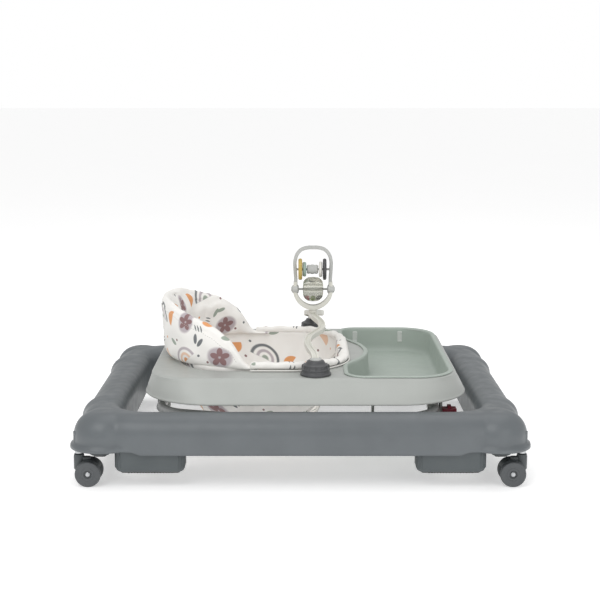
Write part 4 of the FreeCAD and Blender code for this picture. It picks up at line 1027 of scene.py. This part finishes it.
def make_rim_pad():
    """The padded band round the front of the seat opening, tucked under the wings."""
    count = 300
    x, y, out_x, out_y = seat_line(-3, count)
    keep = np.where(x > -82)[0]
    jump = int(np.argmax(np.diff(keep) > 1)) + 1 if np.any(np.diff(keep) > 1) else 0
    order = np.concatenate([keep[jump:], keep[:jump]]) if jump else keep
    rings = []
    for i in order:
        ring = []
        ease = 0.9
        lift = 162.0 + 1.6 * np.clip((abs(y[i]) - 110) / 40, 0, 1)
        for step in range(20):
            angle = step * 2 * math.pi / 20
            c, s = math.cos(angle), math.sin(angle)
            wide = 10.4 * abs(c) ** 0.7 * (1 if c > 0 else -1) * ease
            tall = 6.4 * abs(s) ** 0.8 * (1 if s > 0 else -1) * ease
            ring.append((x[i] + out_x[i] * wide, y[i] + out_y[i] * wide, lift + tall))
        rings.append(ring)
    pad = stuffed("seat_rim_band", [skin(rings, ends=True)], 0.0042, 4.0, 0.004, 0.1572)
    points = np.array([v.co for v in pad.data.vertices]) / MM
    around = np.arctan2(points[:, 1], points[:, 0] + 62.5)
    gather = 0.7 * np.sin(around * 46 + 2 * np.sin(around * 7)) + 0.5 * np.sin(around * 19)
    points[:, 2] += gather * np.clip((points[:, 2] - 160) / 4, 0, 1)
    pad.data.vertices.foreach_set("co", (points * MM).ravel())
    map_cloth(pad, lambda p: np.arctan2(p[:, 1], p[:, 0] + 62.5) * 140,
              lambda p: np.hypot(p[:, 0] + 62.5, p[:, 1]) * 0.9 + p[:, 2] - 40)
    settle(pad, "tray", ["seat_rim_pad"])
    line = np.column_stack([x[order] + out_x[order] * 9.4, y[order] + out_y[order] * 9.4, 0 * order + 157.2])
    piece("rim_piping", [sweep(smooth_line(line[::3], 220), round_section(1.2, 10), (0, 0, 1))], TAPE, "tray")


LEG_HOLE = (44, 52, 96)


def make_sling():
    """The cloth seat: a pouch hung in the opening, with two leg holes in its front."""
    around, down = 220, 44
    rings = []
    for step in range(down + 1):
        share = step / down
        wall = min(share / 0.62, 1)
        floor = max((share - 0.62) / 0.38, 0)
        x, y, out_x, out_y = rim_path(137.5 - 9 - 34 * wall ** 1.6, 160 - 9 - 58 * wall ** 1.6,
                                      90 - 9 - 8 * wall, around)
        x = x - 62.5 - 6 * wall
        shrink = 1 - floor * 0.995
        z = 159.5 - 106 * wall ** 0.92 - 13 * math.sin(floor * math.pi / 2)
        fold = (1.6 * np.sin(np.arange(around) * 2 * math.pi * 17 / around + 5 * wall)
                + 1.1 * np.sin(np.arange(around) * 2 * math.pi * 31 / around - 9 * wall))
        fold *= math.sin(min(wall, 1) * math.pi) * (1 - floor)
        rings.append(np.column_stack([(x + 68.5 + out_x * fold) * shrink - 68.5, (y + out_y * fold) * shrink,
                                      0 * x + z]))
    rings = np.array(rings)
    radius, hole_y, hole_z = LEG_HOLE
    front = rings[..., 0] > 0
    for sy in SIDES:
        dy, dz = rings[..., 1] - sy * hole_y, rings[..., 2] - hole_z
        gap = np.hypot(dy, dz)
        near = front & (gap > radius - 2.6) & (gap < radius + 3.4)
        scale = np.where(near, radius / np.maximum(gap, 1), 1)
        rings[..., 1] = np.where(near, sy * hole_y + dy * scale, rings[..., 1])
        rings[..., 2] = np.where(near, hole_z + dz * scale, rings[..., 2])
    points, faces = skin(rings)
    flat = np.array(points)
    kept = []
    for face in faces:
        middle = flat[list(face)].mean(0)
        hole = middle[0] > 0 and math.hypot(abs(middle[1]) - hole_y, middle[2] - hole_z) < radius - 0.6
        if not hole:
            kept.append(face)
    used = sorted({i for face in kept for i in face})
    renumber = {old: new for new, old in enumerate(used)}
    sling = piece("seat_pouch", [([points[i] for i in used], [[renumber[i] for i in f] for f in kept])],
                  CLOTH, crease=60)
    map_cloth(sling, lambda p: np.arctan2(p[:, 1], p[:, 0] + 62.5) * 130, lambda p: p[:, 2] + p[:, 0] * 0.25)
    thick = sling.modifiers.new("thick", "SOLIDIFY")
    thick.thickness = 0.0014
    thick.offset = 0
    frozen(sling)
    settle(sling, "tray", ["seat_sling"])
    hems = []
    for sy in SIDES:
        line = []
        for step in range(72):
            turn = step * 2 * math.pi / 72
            y, z = sy * hole_y + radius * math.cos(turn), hole_z + radius * math.sin(turn)
            wall = min(max((159.5 - z) / 106, 0), 1) ** (1 / 0.92)
            flat_x = 137.5 - 9 - 34 * wall ** 1.6
            flat_y = 160 - 9 - 58 * wall ** 1.6
            corner = 81 - 8 * wall
            past = max(abs(y) - (flat_y - corner), 0)
            x = flat_x - corner + math.sqrt(max(corner ** 2 - past ** 2, 0)) - 68.5 + 6 * (1 - wall)
            line.append((x, y, z))
        hems.append(sweep(line, round_section(2.3, 10), (1, 0, 0), closed=True))
    hem = piece("leg_hole_hems", hems, TAPE, "tray")


# ---------------------------------------------------------------- toy bar
def make_domes():
    for sy in SIDES:
        profile = [(0.1, 155.2), (24, 155.2), (24.5, 156), (24.5, 158.4), (23.4, 159.4), (22.6, 160.2),
                   (22.4, 163), (23.0, 163.8), (22.8, 165.4), (21.4, 166.2), (20.2, 169), (20.6, 170),
                   (20.2, 171.6), (17.4, 172.8), (14.6, 175.6), (13.2, 178), (11.6, 178.9), (5.8, 178.9),
                   (5.7, 168), (0.1, 168)]
        parts = [lathe(profile, (DOME_X, sy * DOME_Y, 0), "Z", 72)]
        name = f"dome_shell_{SIDE_NAME[sy]}"
        piece(name, parts, DOME, "tray", [f"toy_dome_{SIDE_NAME[sy]}"], crease=45)
        fins = []
        for step in range(12):
            turn = step * math.pi / 6
            fins.append(lathe([(0.4, 160), (1.3, 161), (1.3, 170), (0.4, 172.4)],
                              (DOME_X + 20.8 * math.cos(turn), sy * DOME_Y + 20.8 * math.sin(turn), 0), "Z",
                              8))
        piece(f"dome_fins_{SIDE_NAME[sy]}", fins, DOME, "tray")
        collar = lathe([(5.7, 178.6), (9.4, 178.8), (9.8, 179.8), (9.2, 181.6), (7.4, 182.4), (5.7, 182.4)],
                       (DOME_X, sy * DOME_Y, 0), "Z", 40)
        piece(f"dome_collar_{SIDE_NAME[sy]}", [collar], LOOP_GREY, "tray", crease=40)


def make_arch():
    """Two S-swung legs of grooved section that meet in a hub."""
    grooved = [(5.2, -3.9), (5.6, 0), (5.2, 3.9), (3.8, 4.5), (2.8, 4.2), (2.3, 2.3), (-2.3, 2.3),
               (-2.8, 4.2), (-3.8, 4.5), (-5.2, 3.9), (-5.6, 0), (-5.2, -3.9), (-3.8, -4.5), (-2.8, -4.2),
               (-2.3, -2.3), (2.3, -2.3), (2.8, -4.2), (3.8, -4.5)]
    parts = []
    for sy in SIDES:
        route = [(24, 169), (24, 180), (21, 187), (14.5, 192.5), (11.6, 197.5), (15, 202), (24, 204.6),
                 (33, 207), (36.2, 210.6), (33, 214.4), (26, 217.6), (TOY_X, 219.4), (TOY_X, 220)]
        ways = (185, 184.6, 176, 158, 137, 117, 98, 80, 63, 46, 28, 12, 0)
        route = [(x, sy * y, z) for (x, z), y in zip(route, ways)]
        line = smooth_line(route, 90)
        parts.append(sweep(line, grooved, (1, 0, 0)))
    parts.append(lathe([(3.2, 213), (6.4, 213), (7, 213.8), (7, 225.4), (6.2, 227.4), (3.2, 227.4)],
                       (TOY_X, 0, 0), "Z", 40))
    parts.append(lathe([(6.8, 216.4), (7.8, 217), (7.8, 219), (6.8, 219.6)], (TOY_X, 0, 0), "Z", 40))
    piece("arch_legs", parts, TOY_GREY, "tray", ["toy_arch"], crease=40)


def make_yoke():
    """The U that carries the drum, ribbed under its bend, with a spigot down into the hub."""
    section = []
    for half, rise in ((6, 0), (6, 1.4), (5.2, 2.6), (3.4, 2.0), (-3.4, 2.0), (-5.2, 2.6), (-6, 1.4), (-6, 0),
                       (-6, -3.2), (-4.6, -3.9), (4.6, -3.9), (6, -3.2)):
        section.append((half, rise))
    route = [(-29.4, 276), (-30, 263), (-28.8, 253.5), (-23.6, 244), (-15, 236.6), (-6, 232.8), (0, 232),
             (6, 232.8), (15, 236.6), (23.6, 244), (28.8, 253.5), (30, 263), (29.4, 276)]
    line = smooth_line([(TOY_X + x, 0, z) for x, z in route], 84)
    sizes = 0.95 + 0.35 * np.clip(1 - np.abs(np.linspace(-1, 1, 84)) * 1.3, 0, 1)
    parts = [sweep(line, section, (0, 1, 0), sizes=sizes)]
    parts.append(lathe([(2.95, 219.6), (2.95, 227.5), (5.2, 228), (6.6, 230), (7.4, 233.4)], (TOY_X, 0, 0),
                       "Z", 32))
    for place in (34, 38, 42, 46, 50):
        x, _, z = line[place - 1]
        parts.append(lathe([(0.3, -5.6), (1.1, -5.0), (1.1, 5.0), (0.3, 5.6)], (x, 0, z - 2.6), "Y", 8))
    piece("yoke_u", parts, TOY_GREY, "toy_head", ["toy_yoke"], crease=40)
    knobs = [lathe([(0.1, side * 37.4), (3.4, side * 37.1), (6.2, side * 35.2), (7.7, side * 32.2),
                    (8, side * 29.4), (7.7, side * 26.8), (6.9, side * 25.2), (5.0, side * 24.2),
                    (2.1, side * 24.2)],
                   (TOY_X, 0, DRUM_Z), "X", 40) for side in SIDES]
    knobs.append(lathe([(1.95, -25), (1.95, 25)], (TOY_X, 0, DRUM_Z), "X", 20))
    piece("ear_knobs", knobs, LOOP_GREY, "toy_head", ["drum_axle"], crease=50)


def make_drum():
    half = [(2.2, -17), (9, -17), (13.6, -16.2), (15.6, -14.4), (18.4, -11), (19.9, -7.4), (20.5, -3),
            (20.5, 3), (19.9, 7.4), (18.4, 11), (15.6, 14.4), (13.6, 16.2), (9, 17), (2.2, 17)]
    hollow = [(3.4, -15.6), (9, -15.6), (12.9, -14.9), (14.6, -13.3), (17.2, -10.2), (18.6, -7), (19.1, -3),
              (19.1, 3), (18.6, 7), (17.2, 10.2), (14.6, 13.3), (12.9, 14.9), (9, 15.6), (3.4, 15.6)]
    piece("drum_shell", [lathe(half, (TOY_X, 0, DRUM_Z), "X", 64),
                         lathe(hollow[::-1], (TOY_X, 0, DRUM_Z), "X", 64)],
          CLEAR, "toy_drum", ["rattle_drum"], crease=40)
    ribs = []
    for step in range(10):
        turn = step * math.pi / 5
        route = [(TOY_X + h, (r + 0.2) * math.cos(turn), DRUM_Z + (r + 0.2) * math.sin(turn))
                 for r, h in half[3:-3]]
        ribs.append(sweep(smooth_line(route, 14), round_section(0.7, 6),
                          (0, -math.sin(turn), math.cos(turn))))
    for side in SIDES:
        ribs.append(lathe([(9.4, side * 16.9), (10.2, side * 17.3), (11, side * 16.9)], (TOY_X, 0, DRUM_Z),
                          "X", 40))
    piece("drum_ribs", ribs, CLEAR, "toy_drum", crease=50)
    low = DRUM_Z - 20.5 + 1.5 + 4 + 2.6
    for shift, finish, name in ((-1, BEADS, "red"), (0, BEAD_GREEN, "green"), (1, BEAD_DARK, "dark")):
        turns = np.linspace(-math.pi / 2, math.pi / 2, 17)
        ball = lathe([(max(4 * math.cos(t), 0.05), 4 * math.sin(t)) for t in turns],
                     (TOY_X + shift * 8.3, 0, low), "X", 28)
        piece(f"rattle_bead_{name}", [ball], finish, "toy_drum",
              ["rattle_beads"] if shift == 0 else ())


def make_loop():
    """The D-shaped grip with a groove down its faces, narrowing a little towards the yoke."""
    section = [(3.6, -2.6), (3.9, 0), (3.6, 2.6), (2.6, 3.0), (1.9, 2.8), (1.4, 1.7), (-1.4, 1.7),
               (-1.9, 2.8), (-2.6, 3.0), (-3.6, 2.6), (-3.9, 0), (-3.6, -2.6), (-2.6, -3.0), (-1.9, -2.8),
               (-1.4, -1.7), (1.4, -1.7), (1.9, -2.8), (2.6, -3.0)]
    route = [(-29.2, 268), (-29.6, 282), (-30.6, 298), (-30.8, 310), (-27.5, 322), (-20, 330.6), (-10, 334),
             (0, 334.4), (10, 334), (20, 330.6), (27.5, 322), (30.8, 310), (30.6, 298), (29.6, 282),
             (29.2, 268)]
    line = smooth_line([(TOY_X + x, 0, z) for x, z in route], 150)
    parts = [sweep(line, section, (0, 1, 0))]
    parts.append(lathe([(1.95, -29.5), (1.95, 29.5)], (TOY_X, 0, BAR_Z), "X", 20))
    piece("grip_loop", parts, LOOP_GREY, "toy_head", ["toy_loop"], crease=40)


def make_discs():
    def disc(name, centre, radius, half, finish, body, stands_for):
        edge = min(half * 0.8, 2.2)
        profile = [(2.1, -half), (radius * 0.42, -half), (radius * 0.5, -half + 0.7),
                   (radius * 0.68, -half + 0.7), (radius * 0.76, -half), (radius - edge, -half)]
        for step in range(7):
            turn = -math.pi / 2 + step * math.pi / 6
            profile.append((radius - edge + edge * math.cos(turn), math.sin(turn) * half))
        profile += [(radius - edge, half), (radius * 0.76, half), (radius * 0.68, half - 0.7),
                    (radius * 0.5, half - 0.7), (radius * 0.42, half), (2.1, half)]
        piece(name, [lathe(profile, (TOY_X + centre, 0, BAR_Z), "X", 56)], finish, body, [stands_for],
              crease=50)

    disc("green_disc", -14.7, 12.7, 3.3, DISC_GREEN, "disc_green", "toy_disc_green")
    disc("yellow_disc", -21.7, 18.5, 3.3, DISC_YELLOW, "disc_yellow", "toy_disc_yellow")
    disc("white_disc", 12.7, 13.5, 2.9, DISC_WHITE, "disc_white", "toy_disc_white")
    disc("black_disc", 19.7, 18.5, 3.1, DISC_BLACK, "disc_black", "toy_disc_black")
    profile = [(2.1, -9.6), (5.6, -9.6), (7.2, -8.8), (8.2, -6.4), (7.3, -4.2), (8.3, -1.6), (8.3, 1.6),
               (7.3, 4.2), (8.2, 6.4), (7.2, 8.8), (5.6, 9.6), (2.1, 9.6)]
    piece("grooved_roller", [lathe(profile, (TOY_X - 1, 0, BAR_Z), "X", 48)], LOOP_GREY, "toy_roller_body",
          ["toy_roller"], crease=60)


# ---------------------------------------------------------------- stage
def make_stage():
    bpy.ops.mesh.primitive_plane_add(size=60)
    floor = bpy.context.object
    floor.name = "studio_floor"
    paint, tree, shader = blank("studio_floor_paint")
    coords = place_coords(tree)
    link(tree, tint(tree, noise(tree, coords, 2.0), (0.86, 0.86, 0.86, 1), (0.84, 0.84, 0.84, 1)),
         shader.inputs["Base Color"])
    shader.inputs["Roughness"].default_value = 0.9
    shader.inputs["Emission Color"].default_value = (1, 1, 1, 1)
    shader.inputs["Emission Strength"].default_value = 0.42
    floor.data.materials.append(paint)
    sky = bpy.data.worlds.new("studio_light")
    scene.world = sky
    sky.use_nodes = True
    backdrop = sky.node_tree.nodes["Background"]
    backdrop.inputs["Color"].default_value = (1, 1, 1, 1)
    seen = sky.node_tree.nodes.new("ShaderNodeLightPath")
    level = sky.node_tree.nodes.new("ShaderNodeMapRange")
    level.inputs["To Min"].default_value = 0.62
    level.inputs["To Max"].default_value = 1.0
    link(sky.node_tree, seen.outputs["Is Camera Ray"], level.inputs["Value"])
    link(sky.node_tree, level.outputs["Result"], backdrop.inputs["Strength"])
    for name, place, aim, size, power in (
            ("key", (-0.9, -1.7, 2.1), (0, 0, 0.1), 1.6, 20), ("top", (0.3, 0.5, 2.6), (0, 0, 0.1), 2.2, 16),
            ("front", (1.3, -2.3, 0.9), (0, 0, 0.1), 1.6, 9)):
        lamp = bpy.data.lights.new(name, "AREA")
        lamp.energy = power
        lamp.size = size
        holder = bpy.data.objects.new(name, lamp)
        holder.location = place
        holder.rotation_euler = (Vector(aim) - Vector(place)).to_track_quat("-Z", "Y").to_euler()
        scene.collection.objects.link(holder)
    lens = bpy.data.cameras.new("front_view")
    lens.lens = 78.2
    lens.sensor_width = 36
    lens.clip_end = 60
    camera = bpy.data.objects.new("front_view", lens)
    camera.location = (-0.0007, -2.197, 0.610)
    camera.rotation_euler = (math.radians(90 - 9.46), 0, 0)
    scene.collection.objects.link(camera)
    scene.camera = camera
    scene.view_settings.view_transform = "Standard"


make_stage()
make_floor_ring()
make_stair_blocks()
make_castors()
make_tub()
make_tray()
make_back_pad()
make_rim_pad()
make_sling()
make_domes()
make_arch()
make_yoke()
make_drum()
make_loop()
make_discs()
